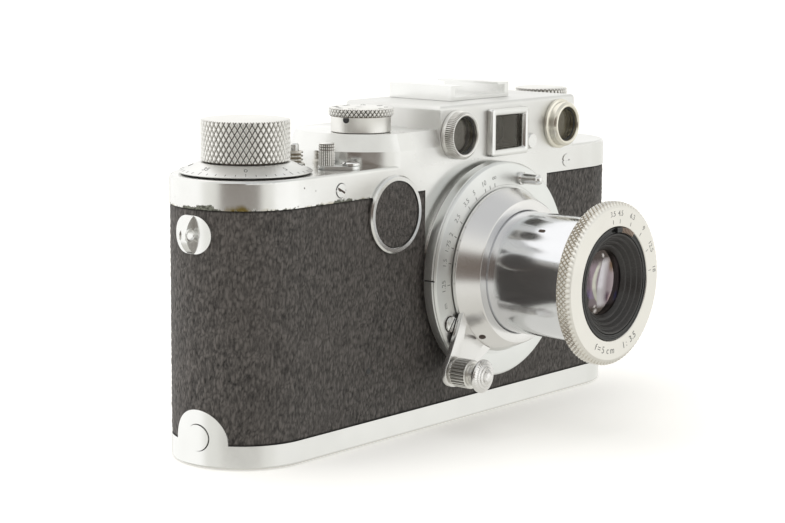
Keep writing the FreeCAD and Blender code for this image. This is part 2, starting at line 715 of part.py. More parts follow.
def make_wind():
    part("wind_knob", lathe("wind_knob_body", [
        ("shaft_radius + 0.02", "wind_bottom"), ("wind_radius - 0.3", "wind_bottom"),
        ("wind_radius", "wind_bottom + 0.3"), ("wind_radius", "wind_top - 0.35"),
        ("wind_radius - 0.45", "wind_top"), ("4", "wind_top + 0.35"), ("0", "wind_top + 0.45"),
        ("0", "wind_top - 1.5"), ("shaft_radius + 0.02", "wind_top - 1.5")], "wind_x"))
    shaft = cylinder("wind_rod", "shaft_radius", "wind_top - 1.6 - sole_top - 1", "wind_x", "0",
                     "sole_top + 1")
    gear = shaped("wind_gear", gear_solid("wind_teeth", wind_centre, 0, 0.0))
    part("wind_shaft", fuse("wind_shaft_and_gear", shaft, gear))
    part("take_up_spool", lathe("spool", [
        ("shaft_radius + 0.02", "8"), ("spool_radius", "8"), ("spool_radius", "9"),
        ("spool_core", "9"), ("spool_core", "47"), ("spool_radius", "47"),
        ("spool_radius", "48"), ("shaft_radius + 0.02", "48")], "wind_x"))
    part("frame_counter_dial", lathe("counter", [
        ("shaft_radius + 0.3", "deck_top + 0.15"), ("counter_radius - 0.4", "deck_top + 0.15"),
        ("counter_radius", "deck_top + 0.35"), ("counter_radius", "deck_top + 0.6"),
        ("counter_rim", "wind_bottom - 0.15"), ("shaft_radius + 0.3", "wind_bottom - 0.15")],
        "wind_x"))


def make_film_drive():
    bore = size("pin_radius") + 0.3
    part("idler_gear", shaped("idler", gear_solid("idler_teeth", idler_centre, bore + 0.05,
                                                   idler_phase)))
    drum = lathe("sprocket_body", [
        ("0", "sole_top - 1"), ("pin_radius", "sole_top - 1"), ("pin_radius", "sole_top + 0.3"),
        ("sprocket_radius", "sole_top + 0.3"), ("sprocket_radius", "plate_bottom - 0.3"),
        ("pin_radius", "plate_bottom - 0.3"), ("pin_radius", "gear_bottom + 1"),
        ("0", "gear_bottom + 1")], "sprocket_x", "sprocket_y")
    pitch = 360.0 / 8
    teeth = []
    for level_index, level in enumerate(("lens_z - 14", "lens_z + 14")):
        for index in range(8):
            tooth = cone("tooth_%d_%d" % (level_index, index), "0.75", "0.35", "1.7")
            angle = math.radians(index * pitch + pitch / 2)
            tooth.Placement = FreeCAD.Placement(FreeCAD.Vector(), FreeCAD.Rotation(
                FreeCAD.Vector(0, 0, 1), FreeCAD.Vector(math.cos(angle), math.sin(angle), 0)))
            inset = "(sprocket_radius - 0.9)"
            bind(tooth, **{"Placement.Base.x": "sprocket_x + %s*%.6f" % (inset, math.cos(angle)),
                           "Placement.Base.y": "sprocket_y + %s*%.6f" % (inset, math.sin(angle)),
                           "Placement.Base.z": level})
            teeth.append(tooth)
    gear = shaped("sprocket_gear", gear_solid("sprocket_teeth", sprocket_centre, 0,
                                              sprocket_phase))
    part("sprocket", fuse("sprocket_all", drum, gear, *teeth))

    drum = lathe("drum_body", [
        ("0", "sole_top - 1"), ("pin_radius", "sole_top - 1"), ("pin_radius", "sole_top + 0.3"),
        ("drum_radius", "sole_top + 0.3"), ("drum_radius", "plate_bottom - 0.3"),
        ("pin_radius", "plate_bottom - 0.3"), ("pin_radius", "gear_bottom + 1"),
        ("0", "gear_bottom + 1")], DRUM_X, DRUM_Y)
    gear = shaped("drum_gear", gear_solid("drum_teeth", drum_centre, 0, drum_phase))
    part("curtain_drum", fuse("curtain_drum_all", drum, gear))
    part("spring_roller", lathe("roller", [
        ("0", "sole_top - 1"), ("pin_radius", "sole_top - 1"), ("pin_radius", "sole_top + 0.3"),
        ("roller_radius", "sole_top + 0.3"), ("roller_radius", "plate_bottom - 0.3"),
        ("pin_radius", "plate_bottom - 0.3"), ("pin_radius", "plate_top - 0.2"),
        ("0", "plate_top - 0.2")], "roller_x", "roller_y"))


def make_frame_plates():
    plate = stadium("upper_plate", "shell_inner - 0.1", "plate_bottom", "plate_top - plate_bottom")
    axles = (("wind", "shaft_radius + gap", "wind_x", "0"),
             ("sprocket", "pin_radius + gap", "sprocket_x", "sprocket_y"),
             ("drum", "pin_radius + gap", DRUM_X, DRUM_Y),
             ("roller", "pin_radius + gap", "roller_x", "roller_y"),
             ("rewind", "shaft_radius + gap", "rewind_x", "0"),
             ("follower", "1 + gap", "follower_x", "follower_y"))
    holes = [cylinder(word + "_axle_hole", radius, "10", x, y, "plate_bottom - 2")
             for word, radius, x, y in axles]
    lens_notch = box("lens_notch", "42", "10", "10", "lens_x - 21", "-20.5", "plate_bottom - 2")
    pin = cylinder("idler_pin", "pin_radius + 0.3", "3.8", IDLER_X, IDLER_Y, "plate_top - 0.2")
    part("mechanism_plate", fuse("plate_and_pin",
                                 cut("drilled_plate", plate, lens_notch, *holes), pin))

    sole = box("sole", "70.5", "26", "sole_top - sole_bottom", "-32", "-13", "sole_bottom")
    seats = [cylinder(word + "_seat", "pin_radius + gap", "5", x, y, "sole_bottom + 0.4")
             for word, _, x, y in axles[1:4]]
    part("lower_bearing_plate", cut("drilled_sole", sole, *seats))

    gate = box("gate_block", "46", "1.8", "40", "lens_x - 23", "10.3", "10.5")
    window = box("gate_window", "gate_width", "5", "gate_height", "lens_x - gate_width/2", "9",
                 "lens_z - gate_height/2")
    part("film_gate", cut("gate", gate, window))
    part("pressure_plate", box("pressure", "44", "0.9", "36", "lens_x - 22", "12.5", "15"))
    first = box("first_curtain", "44", "0.25", "30", "lens_x - 21.5", "9.5", "lens_z - 15")
    second = box("second_curtain", "5", "0.25", "30", "lens_x - 21.5", "9.0", "lens_z - 15")
    part("shutter_curtains", fuse("curtains", first, second))


# ---------------------------------------------------------------- deck controls
def make_controls():
    part("release_collar", lathe("collar_for_release", [
        ("1.2", "deck_top + 0.02"), ("2.4", "deck_top + 0.02"), ("2.4", "deck_top + 0.6"),
        ("2.0", "deck_top + 0.9"), ("2.0", "deck_top + 3.3"), ("1.2", "deck_top + 3.3")],
        "release_x", "release_y"))
    part("release_button", lathe("button", [
        ("0", "deck_top - 0.9"), ("1.1", "deck_top - 0.9"), ("1.1", "deck_top + 3.6"),
        ("1.1", "deck_top + 4.4"), ("0.7", "deck_top + 4.8"), ("0", "deck_top + 4.9")],
        "release_x", "release_y"))

    low = "deck_top + gap"
    post_base = cylinder("lever_post_base", "1.9", "0.8", "reverse_post_x", "reverse_post_y", low)
    post = cylinder("lever_post", "1.73", "5.6", "reverse_post_x", "reverse_post_y", low)
    eye = cylinder("lever_eye", "1.9", "0.8", "reverse_x", "reverse_y", low)
    reach = (size("reverse_post_x") - size("reverse_x"), size("reverse_post_y") - size("reverse_y"))
    arm = bind(doc.addObject("Part::Box", "lever_arm"), Width="2.2", Height="0.8")
    arm.Length = math.hypot(*reach)
    heading = math.atan2(reach[1], reach[0])
    arm.Placement = FreeCAD.Placement(FreeCAD.Vector(), FreeCAD.Rotation(
        FreeCAD.Vector(0, 0, 1), math.degrees(heading)))
    bind(arm, **{"Placement.Base.x": "reverse_x + %.6f" % (1.1 * math.sin(heading)),
                 "Placement.Base.y": "reverse_y - %.6f" % (1.1 * math.cos(heading)),
                 "Placement.Base.z": low})
    bore = cylinder("lever_bore", "1.1", "5", "reverse_x", "reverse_y", "deck_top - 1")
    part("reversing_lever", cut("lever", fuse("lever_solid", post_base, post, eye, arm), bore))
    screw = lathe("pivot_screw", [
        ("0", "deck_top - 1"), ("0.98", "deck_top - 1"), ("0.98", "deck_top + 0.05"),
        ("1.05", "deck_top + 0.05"), ("1.05", "deck_top + 0.9"), ("1.95", "deck_top + 0.9"),
        ("1.95", "deck_top + 1.35"), ("1.6", "deck_top + 1.55"), ("0", "deck_top + 1.55")],
        "reverse_x", "reverse_y")
    slot = centred_box("pivot_slot", "5", "0.45", "0.5", "reverse_x", "reverse_y",
                       "deck_top + 1.2")
    part("reversing_lever_screw", cut("pivot_screw_cut", screw, slot))

    part("speed_dial_spindle", cylinder("spindle", "pin_radius", "14.2", "speed_x", "speed_y",
                                        "platform_top - 10"))
    dial = lathe("dial_body", [
        ("pin_radius + 0.03", "platform_top + 0.1"), ("6.55", "platform_top + 0.1"),
        ("6.55", "platform_top + 3.7"), ("7.1", "platform_top + 3.7"),
        ("7.1", "platform_top + 5.1"), ("6.9", "platform_top + 5.3"), ("0", "platform_top + 5.3"),
        ("0", "platform_top + 4.4"), ("pin_radius + 0.03", "platform_top + 4.4")],
        "speed_x", "speed_y")
    part("speed_dial", dial)


def make_rewind():
    part("dioptre_lever", fuse("dioptre", lathe("dioptre_ring", [
        ("shaft_radius + 0.3", "deck_top + 0.1"), ("6.0", "deck_top + 0.1"),
        ("6.0", "deck_top + 1.3"), ("shaft_radius + 0.3", "deck_top + 1.3")], "rewind_x"),
        box("dioptre_tab", "2.6", "4.6", "1.2", "rewind_x - 1.3", "4.6", "deck_top + 0.1")))
    part("rewind_shaft", cylinder("rewind_rod", "shaft_radius", "27.5", "rewind_x", "0", "43.5"))
    part("rewind_knob", lathe("rewind_body", [
        ("shaft_radius + 0.05", "deck_top + 1.5"), ("5.2", "deck_top + 1.5"),
        ("5.2", "deck_top + 6.8"), ("rewind_radius", "deck_top + 7.3"),
        ("rewind_radius", "deck_top + 12.2"), ("rewind_radius - 0.3", "deck_top + 12.5"),
        ("0", "deck_top + 12.6"), ("0", "deck_top + 11.5"),
        ("shaft_radius + 0.05", "deck_top + 11.5")], "rewind_x"))
    part("film_cassette", lathe("cassette", [
        ("4.5", "7"), ("cassette_radius", "7"), ("cassette_radius", "50.5"),
        ("4.5", "50.5"), ("4.5", "49.9"), ("cassette_radius - 0.6", "49.9"),
        ("cassette_radius - 0.6", "7.6"), ("4.5", "7.6")], "rewind_x - 0.3"))
    part("cassette_spool", lathe("cassette_core", [
        ("0", "8"), ("11", "8"), ("11", "8.8"), ("5.5", "8.8"), ("5.5", "48.4"), ("11", "48.4"),
        ("11", "49.2"), ("shaft_radius + 0.03", "49.2"), ("shaft_radius + 0.03", "43.4"),
        ("0", "43.4")], "rewind_x"))


# ---------------------------------------------------------------- lens
def make_mount():
    part("lens_mount_ring", lens_lathe("mount_ring", [
        ("mount_bore", "shell_inner - 1"), ("mount_bore + 0.5", "shell_inner - 1"),
        ("mount_bore + 0.5", "cover_radius + gap"), ("23.2", "cover_radius + gap"),
        ("23.2", "mount_face"), ("mount_bore", "mount_face")]))
    part("lens_flange", lens_lathe("flange", [
        ("helix_outer + gap", "12.5"), ("mount_bore - 0.1", "12.5"),
        ("mount_bore - 0.1", "mount_face + gap"), ("flange_radius", "mount_face + gap"),
        ("flange_radius", "flange_face - 0.4"), ("flange_radius - 0.4", "flange_face"),
        ("helix_outer + gap", "flange_face")]))
    part("flange_screw", cut("flange_screw_cut",
                             cylinder("flange_screw_head", "1.75", "0.58", "-7.9",
                                      "-flange_face - 0.01", "23.9", FORWARD),
                             centred_box("flange_slot", "5", "0.8", "0.4", "-7.9",
                                         "-flange_face - 0.75", "23.7")))
    part("stop_stud", lathe("stud_pin", [
        ("0", "flange_face + 0.01"), ("1.5", "flange_face + 0.01"), ("1.5", "flange_face + 0.8"),
        ("1.2", "flange_face + 1.1"), ("1.2", "flange_face + 5"), ("0.6", "flange_face + 6"),
        ("0", "flange_face + 6")], "17.3", "0", "54.2", FORWARD))


def lever_arm_solid():
    """Flat tapered arm from the collar out to the round end that carries the lever's knob."""
    angle = math.radians(size("lever_angle"))
    out = FreeCAD.Vector(math.cos(angle), 0, math.sin(angle))
    side = FreeCAD.Vector(-out.z, 0, out.x)
    base = FreeCAD.Vector(size("lens_x"), -size("flange_face") - size("lever_rise"),
                          size("lens_z"))
    root_radius = size("collar_radius") - 1.2
    tip = out * size("lever_reach")
    half_root, half_tip = side * size("lever_root"), side * (size("lever_end") - 0.02)
    corners = [base + out * root_radius + half_root, base + tip + half_tip,
               base + tip - half_tip, base + out * root_radius - half_root]
    thick = size("lever_thick")
    forward = FreeCAD.Vector(0, -thick, 0)
    arm = Part.Face(Part.makePolygon(corners + corners[:1])).extrude(forward)
    end = Part.makeCylinder(size("lever_end"), thick, base + tip, FreeCAD.Vector(0, -1, 0))
    return arm.fuse(end).removeSplitter()


def make_focusing():
    part("helicoid_ring", lens_lathe("helicoid", [
        ("helix_inner", "12.6"), ("helix_outer", "12.6"), ("helix_outer", "flange_face - 0.1"),
        ("helix_inner", "flange_face - 0.1")]))
    collar = lens_lathe("collar", [
        ("tube_radius + 1.4", "11"), ("helix_inner - gap", "11"),
        ("helix_inner - gap", "flange_face + 0.1"), ("collar_radius", "flange_face + 0.1"),
        ("collar_radius", "collar_shoulder"), ("collar_nose", "collar_front - 0.4"),
        ("collar_nose - 0.35", "collar_front"),
        ("tube_radius + 0.07", "collar_front"), ("tube_radius + 0.07", "flange_face + 0.5"),
        ("tube_radius + 1.4", "flange_face + 0.5")])
    around = math.radians(size("peg_hole_angle"))
    peg_hole = cylinder("collar_hole", "0.8", "2.5",
                        "lens_x + peg_hole_reach*%.6f" % math.cos(around), "-flange_face - 3",
                        "lens_z + peg_hole_reach*%.6f" % math.sin(around),
                        FreeCAD.Rotation(FreeCAD.Vector(0, 0, 1),
                                         FreeCAD.Vector(math.cos(around), 0, math.sin(around))))
    part("focusing_collar", cut("collar_drilled", collar, peg_hole))

    angle = size("lever_angle")
    knob_x = "lens_x + lever_reach*%.6f" % math.cos(math.radians(angle))
    knob_z = "lens_z + lever_reach*%.6f" % math.sin(math.radians(angle))
    arm = shaped("lever_arm_plate", lever_arm_solid())
    clear = cylinder("arm_clearance", "collar_radius + 0.02", "10", "lens_x", "-flange_face",
                     "lens_z", FORWARD)
    knob = lathe("lever_knob", [
        ("1.3", "flange_face + 1"), ("2.5", "flange_face + 1"), ("2.5", "flange_face + 2.6"),
        ("3.2", "flange_face + 2.6"), ("3.2", "flange_face + 6.6"), ("2.4", "flange_face + 6.6"),
        ("2.4", "flange_face + 7.2"), ("1.3", "flange_face + 7.2")], knob_x, "0", knob_z, FORWARD)
    bore = cylinder("lever_knob_bore", "1.3", "3", knob_x, "-flange_face + 0.5", knob_z, FORWARD)
    part("focus_lever", fuse("focus_lever_all", cut("arm_cut", arm, clear, bore), knob))
    part("infinity_lock_button", lathe("lock_button", [
        ("0", "flange_face + 3.0"), ("1.25", "flange_face + 3.0"), ("1.25", "flange_face + 8.9"),
        ("3.7", "flange_face + 8.9"), ("3.7", "flange_face + 9.7"), ("2.6", "flange_face + 10.5"),
        ("2.6", "flange_face + 10.7"), ("1.3", "flange_face + 11.3"), ("0", "flange_face + 11.4")],
        knob_x, "0", knob_z, FORWARD))


def glass(name, radius, thick, front, bulge):
    """A lens: the common part of a short cylinder and a large ball."""
    ball = bind(doc.addObject("Part::Sphere", name + "_ball"), Radius=bulge)
    place(ball, "lens_x", "-(%s) + %s" % (front, bulge), "lens_z")
    edge = cylinder(name + "_edge", radius, thick, "lens_x", "-(%s) + %s" % (front, thick),
                    "lens_z", FORWARD)
    return common(name, ball, edge)


def make_barrel():
    tube = lens_lathe("tube", [
        ("tube_inner", "tube_back"), ("tube_radius", "tube_back"), ("tube_radius", "ring_back"),
        ("tube_inner", "ring_back")])
    part("lens_tube", tube)
    part("front_ring", lens_lathe("front_ring_body", [
        ("stop_outer + 0.1", "ring_back + 0.02"), ("ring_radius - 0.4", "ring_back + 0.02"),
        ("ring_radius", "ring_back + 0.4"), ("ring_radius", "ring_front - ring_bevel_depth"),
        ("ring_radius - ring_bevel", "ring_front"), ("stop_outer + 0.1", "ring_front")]))
    part("lens_cell", lens_lathe("cell", [
        ("cell_bore + 0.5", "30"), ("cell_outer", "30"), ("cell_outer", "ring_back - 0.1"),
        ("stop_inner - 0.1", "ring_back - 0.1"), ("stop_inner - 0.1", "ring_front - 0.1"),
        ("stop_inner - 0.3", "ring_front - 0.1"), ("10.3", "ring_front - 0.9"),
        ("9.9", "ring_front - 0.9"), ("9.3", "ring_front - 1.75"), ("8.9", "ring_front - 1.75"),
        ("8.3", "ring_front - 2.6"), ("7.9", "ring_front - 2.6"),
        ("cell_seat", "front_lens_top - 1.2"), ("cell_seat", "front_lens_top - 3.9"),
        ("cell_bore", "front_lens_top - 3.9"), ("cell_bore", "41"), ("cell_bore + 0.5", "41"),
        ("cell_bore + 0.5", "39.6"), ("9.5", "39.6"), ("9.5", "36.6"),
        ("cell_bore + 0.5", "36.6")]))
    ring = lens_lathe("stop_ring", [
        ("stop_inner", "ring_back + 0.45"), ("stop_outer", "ring_back + 0.45"),
        ("stop_outer", "ring_front - 0.3"), ("stop_inner", "ring_front - 0.3")])
    tab = cylinder("stop_tab_disc", "stop_outer - 0.05", "1.6", "lens_x", "-ring_front + 1",
                   "lens_z", FORWARD)
    tab_inner = cylinder("stop_tab_inner", "stop_inner + 0.05", "5", "lens_x",
                         "-ring_front + 2", "lens_z", FORWARD)
    lean = math.radians(18.6)
    half_wide, low = 2.6, 8
    tab_zone = bind(doc.addObject("Part::Box", "stop_tab_zone"), Length="5.2", Width="10",
                    Height="8")
    tab_zone.Placement = FreeCAD.Placement(
        FreeCAD.Vector(), FreeCAD.Rotation(FreeCAD.Vector(0, 1, 0), math.degrees(lean)))
    across = low * math.sin(lean) - half_wide * math.cos(lean)
    rise = low * math.cos(lean) + half_wide * math.sin(lean)
    bind(tab_zone, **{"Placement.Base.x": "lens_x + (%.6f)" % across,
                      "Placement.Base.y": "-ring_front - 5",
                      "Placement.Base.z": "lens_z + (%.6f)" % rise})
    part("aperture_ring", fuse("stop_ring_all", ring,
                               common("stop_tab", cut("stop_tab_ring", tab, tab_inner), tab_zone)))
    part("front_lens", glass("front_glass", "front_lens_radius", "3.2", "front_lens_top", "22"))
    part("middle_lens", glass("middle_glass", "cell_bore - 0.1", "1.2", "40", "60"))
    part("rear_lens", glass("rear_glass", "6.9", "3.6", "35.4", "26"))
    part("iris_blades", lens_lathe("iris", [("4.6", "37.6"), ("9.4", "37.6"), ("9.4", "38.2"),
                                            ("4.6", "38.2")]))


def make_rangefinder_lever():
    """Arm whose roller follows the back of the focusing collar."""
    pivot = cylinder("follower_pivot", "1.6", "2.4", "follower_x", "follower_y", "49")
    pin = cylinder("follower_pin", "1", "4.3", "follower_x", "follower_y", "49")
    roller = cylinder("follower_roller", "1.5", "1.9", "lens_x", "contact_y", "48.8")
    hub = cylinder("follower_hub", "1.2", "2", "lens_x", "contact_y", "48.8")
    reach = (size("lens_x") - size("follower_x"), size("contact_y") - size("follower_y"))
    heading = math.atan2(reach[1], reach[0])
    arm = bind(doc.addObject("Part::Box", "follower_arm"), Width="2", Height="0.9")
    arm.Length = math.hypot(*reach)
    arm.Placement = FreeCAD.Placement(FreeCAD.Vector(), FreeCAD.Rotation(
        FreeCAD.Vector(0, 0, 1), math.degrees(heading)))
    bind(arm, **{"Placement.Base.x": "follower_x + (%.6f)" % math.sin(heading),
                 "Placement.Base.y": "follower_y - (%.6f)" % math.cos(heading),
                 "Placement.Base.z": "49.9"})
    part("rangefinder_lever", fuse("follower", pivot, pin, roller, hub, arm))


make_body()
make_screws()
make_top_cover()
make_windows()
make_plug()
make_base()
make_lugs()
make_wind()
make_film_drive()
make_frame_plates()
make_controls()
make_rewind()
make_mount()
make_focusing()
make_barrel()
make_rangefinder_lever()

doc.recompute()
failed = [item.Name for item in doc.Objects if "Invalid" in item.State or "Error" in item.State]
if failed:
    raise RuntimeError("objects that did not compute: " + ", ".join(failed))
for node, thing in parts.items():
    if thing.Shape.isNull() or not thing.Shape.isValid() or thing.Shape.Volume <= 0:
        raise RuntimeError("bad shape: " + node)

os.makedirs("parts", exist_ok=True)
for node, thing in parts.items():
    thing.Shape.exportStep(os.path.join("parts", node + ".step"))
print(len(parts), "pieces written")
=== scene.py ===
import math

import bmesh
import bpy
import numpy as np
from mathutils import Matrix, Vector, noise


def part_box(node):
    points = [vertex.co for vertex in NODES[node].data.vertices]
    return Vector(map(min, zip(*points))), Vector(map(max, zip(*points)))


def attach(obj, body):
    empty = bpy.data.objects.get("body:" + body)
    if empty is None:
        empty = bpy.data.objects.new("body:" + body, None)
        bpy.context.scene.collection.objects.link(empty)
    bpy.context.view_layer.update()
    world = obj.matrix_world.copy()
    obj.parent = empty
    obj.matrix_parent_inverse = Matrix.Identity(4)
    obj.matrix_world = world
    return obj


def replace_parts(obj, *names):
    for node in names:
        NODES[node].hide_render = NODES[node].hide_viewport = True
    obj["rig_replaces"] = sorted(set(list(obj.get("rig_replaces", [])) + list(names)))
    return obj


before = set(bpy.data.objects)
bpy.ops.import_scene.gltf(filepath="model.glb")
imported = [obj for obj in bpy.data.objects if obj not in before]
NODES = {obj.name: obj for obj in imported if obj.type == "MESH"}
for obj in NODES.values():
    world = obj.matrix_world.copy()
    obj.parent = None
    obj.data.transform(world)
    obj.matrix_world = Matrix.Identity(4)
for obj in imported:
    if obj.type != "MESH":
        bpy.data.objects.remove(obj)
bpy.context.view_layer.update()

MM = 0.001


# ---------------------------------------------------------------- sizes read from the frame, in mm
def span(node):
    """Lowest and highest corners of a CAD node, in mm."""
    low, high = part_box(node)
    return low / MM, high / MM


def middle(node):
    low, high = span(node)
    return (low + high) / 2


FLANGE_LOW, FLANGE_HIGH = span("lens_flange")
LENS_X = (FLANGE_LOW.x + FLANGE_HIGH.x) / 2
LENS_Z = (FLANGE_LOW.z + FLANGE_HIGH.z) / 2
FLANGE_RADIUS = (FLANGE_HIGH.x - FLANGE_LOW.x) / 2
FLANGE_FACE = -FLANGE_LOW.y
COVER_LOW, COVER_HIGH = span("top_cover")
COVER_RADIUS = COVER_HIGH.y
END_X = COVER_HIGH.x - COVER_RADIUS
COVERING_LOW, COVERING_HIGH = span("body_covering")
LEATHER_RADIUS = COVERING_HIGH.y
BAND_BOTTOM = COVERING_HIGH.z + 0.05
COUNTER_LOW, COUNTER_HIGH = span("frame_counter_dial")
DECK_TOP = COUNTER_LOW.z - 0.15
WIND = middle("wind_knob")
SPEED = middle("speed_dial")
REWIND = middle("rewind_knob")


# ---------------------------------------------------------------- placements
def upright(x, y, z=0.0):
    """Local Z stays up; lengths in mm."""
    return Matrix.Translation(Vector((x, y, z)) * MM)


def looking(direction, x, y, z):
    """Local Z points along direction and local Y points up as far as it can."""
    along = Vector(direction).normalized()
    up = Vector((0, 0, 1)) if abs(along.z) < 0.9 else Vector((0, 1, 0))
    side = up.cross(along).normalized()
    up = along.cross(side)
    turn = Matrix((side, up, along)).transposed().to_4x4()
    return Matrix.Translation(Vector((x, y, z)) * MM) @ turn


FORWARD = (0, -1, 0)


def on_lens(z=0.0):
    """Local Z runs forward along the lens axis, measured from the middle of the body."""
    return looking(FORWARD, LENS_X, -z, LENS_Z)


# ---------------------------------------------------------------- mesh building
def piece(name, points, faces, body, place=None, finish=None, sharp=32, stands_for=(), sunk=None):
    """A new mesh object, points in mm, riding on a body; sunk says how deep each point is cut."""
    mesh = bpy.data.meshes.new(name)
    mesh.from_pydata([tuple(c * MM for c in point) for point in points], [], faces)
    depths = mesh.attributes.new("sunk", "FLOAT", "POINT")
    depths.data.foreach_set("value", sunk if sunk else [0.0] * len(points))
    work = bmesh.new()
    work.from_mesh(mesh)
    bmesh.ops.remove_doubles(work, verts=work.verts, dist=1e-7)
    bmesh.ops.recalc_face_normals(work, faces=work.faces)
    work.to_mesh(mesh)
    work.free()
    for face in mesh.polygons:
        face.use_smooth = True
    mesh.set_sharp_from_angle(angle=math.radians(sharp))
    thing = bpy.data.objects.new(name, mesh)
    bpy.context.scene.collection.objects.link(thing)
    if place is not None:
        thing.matrix_world = place
    if finish is not None:
        mesh.materials.append(finish)
    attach(thing, body)
    if stands_for:
        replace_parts(thing, *stands_for)
    return thing


def eased(profile, radius=0.12, closed=True, steps=3):
    """Round the corners of a profile of (radius, height) points."""
    result = []
    total = len(profile)
    for index, corner in enumerate(profile):
        here = Vector(corner)
        if not closed and index in (0, total - 1):
            result.append(tuple(here))
            continue
        before = Vector(profile[index - 1]) - here
        after = Vector(profile[(index + 1) % total]) - here
        flat = before.length < 1e-6 or after.length < 1e-6 or here.x < 1e-6
        if flat or before.angle(after) > math.radians(165):
            result.append(tuple(here))
            continue
        start = here + before.normalized() * min(radius, before.length * 0.45)
        end = here + after.normalized() * min(radius, after.length * 0.45)
        for step in range(steps + 1):
            share = step / steps
            point = start * (1 - share)**2 + here * 2 * share * (1 - share) + end * share**2
            result.append(tuple(point))
    return result


def revolve(profile, turns=144, closed=True, radius_at=None):
    """Points and faces of a turned shape; radius_at(radius, height, angle) may change a radius."""
    points = []
    faces = []
    rows = len(profile)
    for radius, height in profile:
        for step in range(turns):
            angle = 2 * math.pi * step / turns
            reach = radius_at(radius, height, angle) if radius_at else radius
            points.append((reach * math.cos(angle), reach * math.sin(angle), height))
    for row in range(rows if closed else rows - 1):
        following = (row + 1) % rows
        for step in range(turns):
            beside = (step + 1) % turns
            faces.append((row * turns + step, row * turns + beside,
                          following * turns + beside, following * turns + step))
    return points, faces


def lathe(name, profile, body, place, finish, ease=0.12, turns=144, stands_for=(), **more):
    points, faces = revolve(eased(profile, ease), turns, **more)
    return piece(name, points, faces, body, place, finish, stands_for=stands_for)


def band_rows(low, high, rows):
    return [low + (high - low) * index / rows for index in range(rows + 1)]


def split_quads(faces, sunk):
    """Cut each quad along the diagonal whose ends are sunk most alike, so grooves stay crisp."""
    result = []
    for face in faces:
        if len(face) != 4 or max(sunk[index] for index in face) < 1e-6:
            result.append(face)
            continue
        a, b, c, d = face
        if abs(sunk[a] - sunk[c]) <= abs(sunk[b] - sunk[d]):
            result += [(a, b, c), (a, c, d)]
        else:
            result += [(a, b, d), (b, c, d)]
    return result


def turned(name, profile, turns, depth, sunk_at, body, place, finish, stands_for=(), sharp=25):
    """A turned shape with a cut pattern; sunk_at(radius, height, angle) runs from 0 to 1."""
    def radius_at(radius, height, angle):
        return radius - depth * sunk_at(radius, height, angle)

    points, faces = revolve(profile, turns, True, radius_at)
    sunk = [sunk_at(radius, height, 2 * math.pi * step / turns)
            for radius, height in profile for step in range(turns)]
    return piece(name, points, split_quads(faces, sunk), body, place, finish, sharp, stands_for,
                 sunk)


def straight(angle, around, edge=0.3):
    """How far a straight knurl is cut at an angle, from 0 on a rib to 1 in a groove."""
    share = abs((angle * around / (2 * math.pi)) % 1.0 - 0.5)
    return 1 - min(1.0, (0.5 - share) / edge)


def knurled(name, below, above, radius, low, high, around, tall, depth, body, place, finish,
            stands_for=(), per_cell=8, edge=0.22, top_radius=None):
    """A turned knob whose side from low to high is cut with a diamond knurl."""
    rows = max(4, round((high - low) / tall * per_cell))
    cell = (high - low) * per_cell / rows
    side = [(radius, height) for height in band_rows(low, high, rows)]
    bevel = []
    if top_radius is not None:
        rise = above[0][1] - high
        for index in range(1, per_cell):
            share = index / per_cell
            bevel.append((radius + (top_radius - radius) * share, high + rise * share))
    profile = below + side + bevel + above

    def sunk_at(reach, height, angle):
        if height < low - 1e-6 or height > high + 1e-6 and not bevel or reach < radius * 0.9:
            return 0.0
        if height < low + 1e-6 or reach < radius - 1e-6 and not bevel:
            return 1.0 if reach > radius - 1e-6 else 0.0
        if reach < radius - 1e-6 and (reach, height) not in bevel:
            return 0.0
        across = angle * around / (2 * math.pi)
        along = (height - low) / cell
        first = abs((across + along) % 1.0 - 0.5)
        second = abs((across - along) % 1.0 - 0.5)
        share = 1 - min(1.0, (0.5 - max(first, second)) / edge)
        if reach < radius - 1e-6:
            share *= (reach - top_radius) / (radius - top_radius)
        return share

    return turned(name, profile, around * per_cell, depth, sunk_at, body, place, finish,
                  stands_for)


def slab(name, outline, low, high, body, place, finish, ease=0.12, stands_for=()):
    """An upright solid over a closed outline of (x, y) points, with a bevelled top edge."""
    count = len(outline)
    centre = Vector((sum(p[0] for p in outline) / count, sum(p[1] for p in outline) / count))
    points = []
    for inset, height in ((0, low), (0, high - ease), (ease * 0.3, high - ease * 0.3), (ease, high)):
        for x, y in outline:
            away = Vector((x, y)) - centre
            spot = Vector((x, y)) - away.normalized() * inset
            points.append((spot.x, spot.y, height))
    faces = []
    for row in range(3):
        for step in range(count):
            beside = (step + 1) % count
            faces.append((row * count + step, row * count + beside,
                          (row + 1) * count + beside, (row + 1) * count + step))
    faces.append(tuple(range(count)))
    faces.append(tuple(3 * count + step for step in range(count)))
    return piece(name, points, faces, body, place, finish, stands_for=stands_for)


def join(name, things):
    """Merge pieces that ride on one body into the first one."""
    first = things[0]
    work = bmesh.new()
    stands_for = []
    materials = []
    for thing in things:
        for material in thing.data.materials:
            if material not in materials:
                materials.append(material)
    back = first.matrix_world.inverted()
    for thing in things:
        copy = thing.data.copy()
        copy.transform(back @ thing.matrix_world)
        lookup = [materials.index(material) for material in thing.data.materials]
        for face in copy.polygons:
            face.material_index = lookup[face.material_index]
        work.from_mesh(copy)
        stands_for += list(thing.get("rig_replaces", []))
        bpy.data.meshes.remove(copy)
    mesh = bpy.data.meshes.new(name)
    work.to_mesh(mesh)
    work.free()
    for material in materials:
        mesh.materials.append(material)
    for thing in things[1:]:
        bpy.data.objects.remove(thing)
    first.name = name
    first.data = mesh
    if stands_for:
        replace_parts(first, *stands_for)
    return first


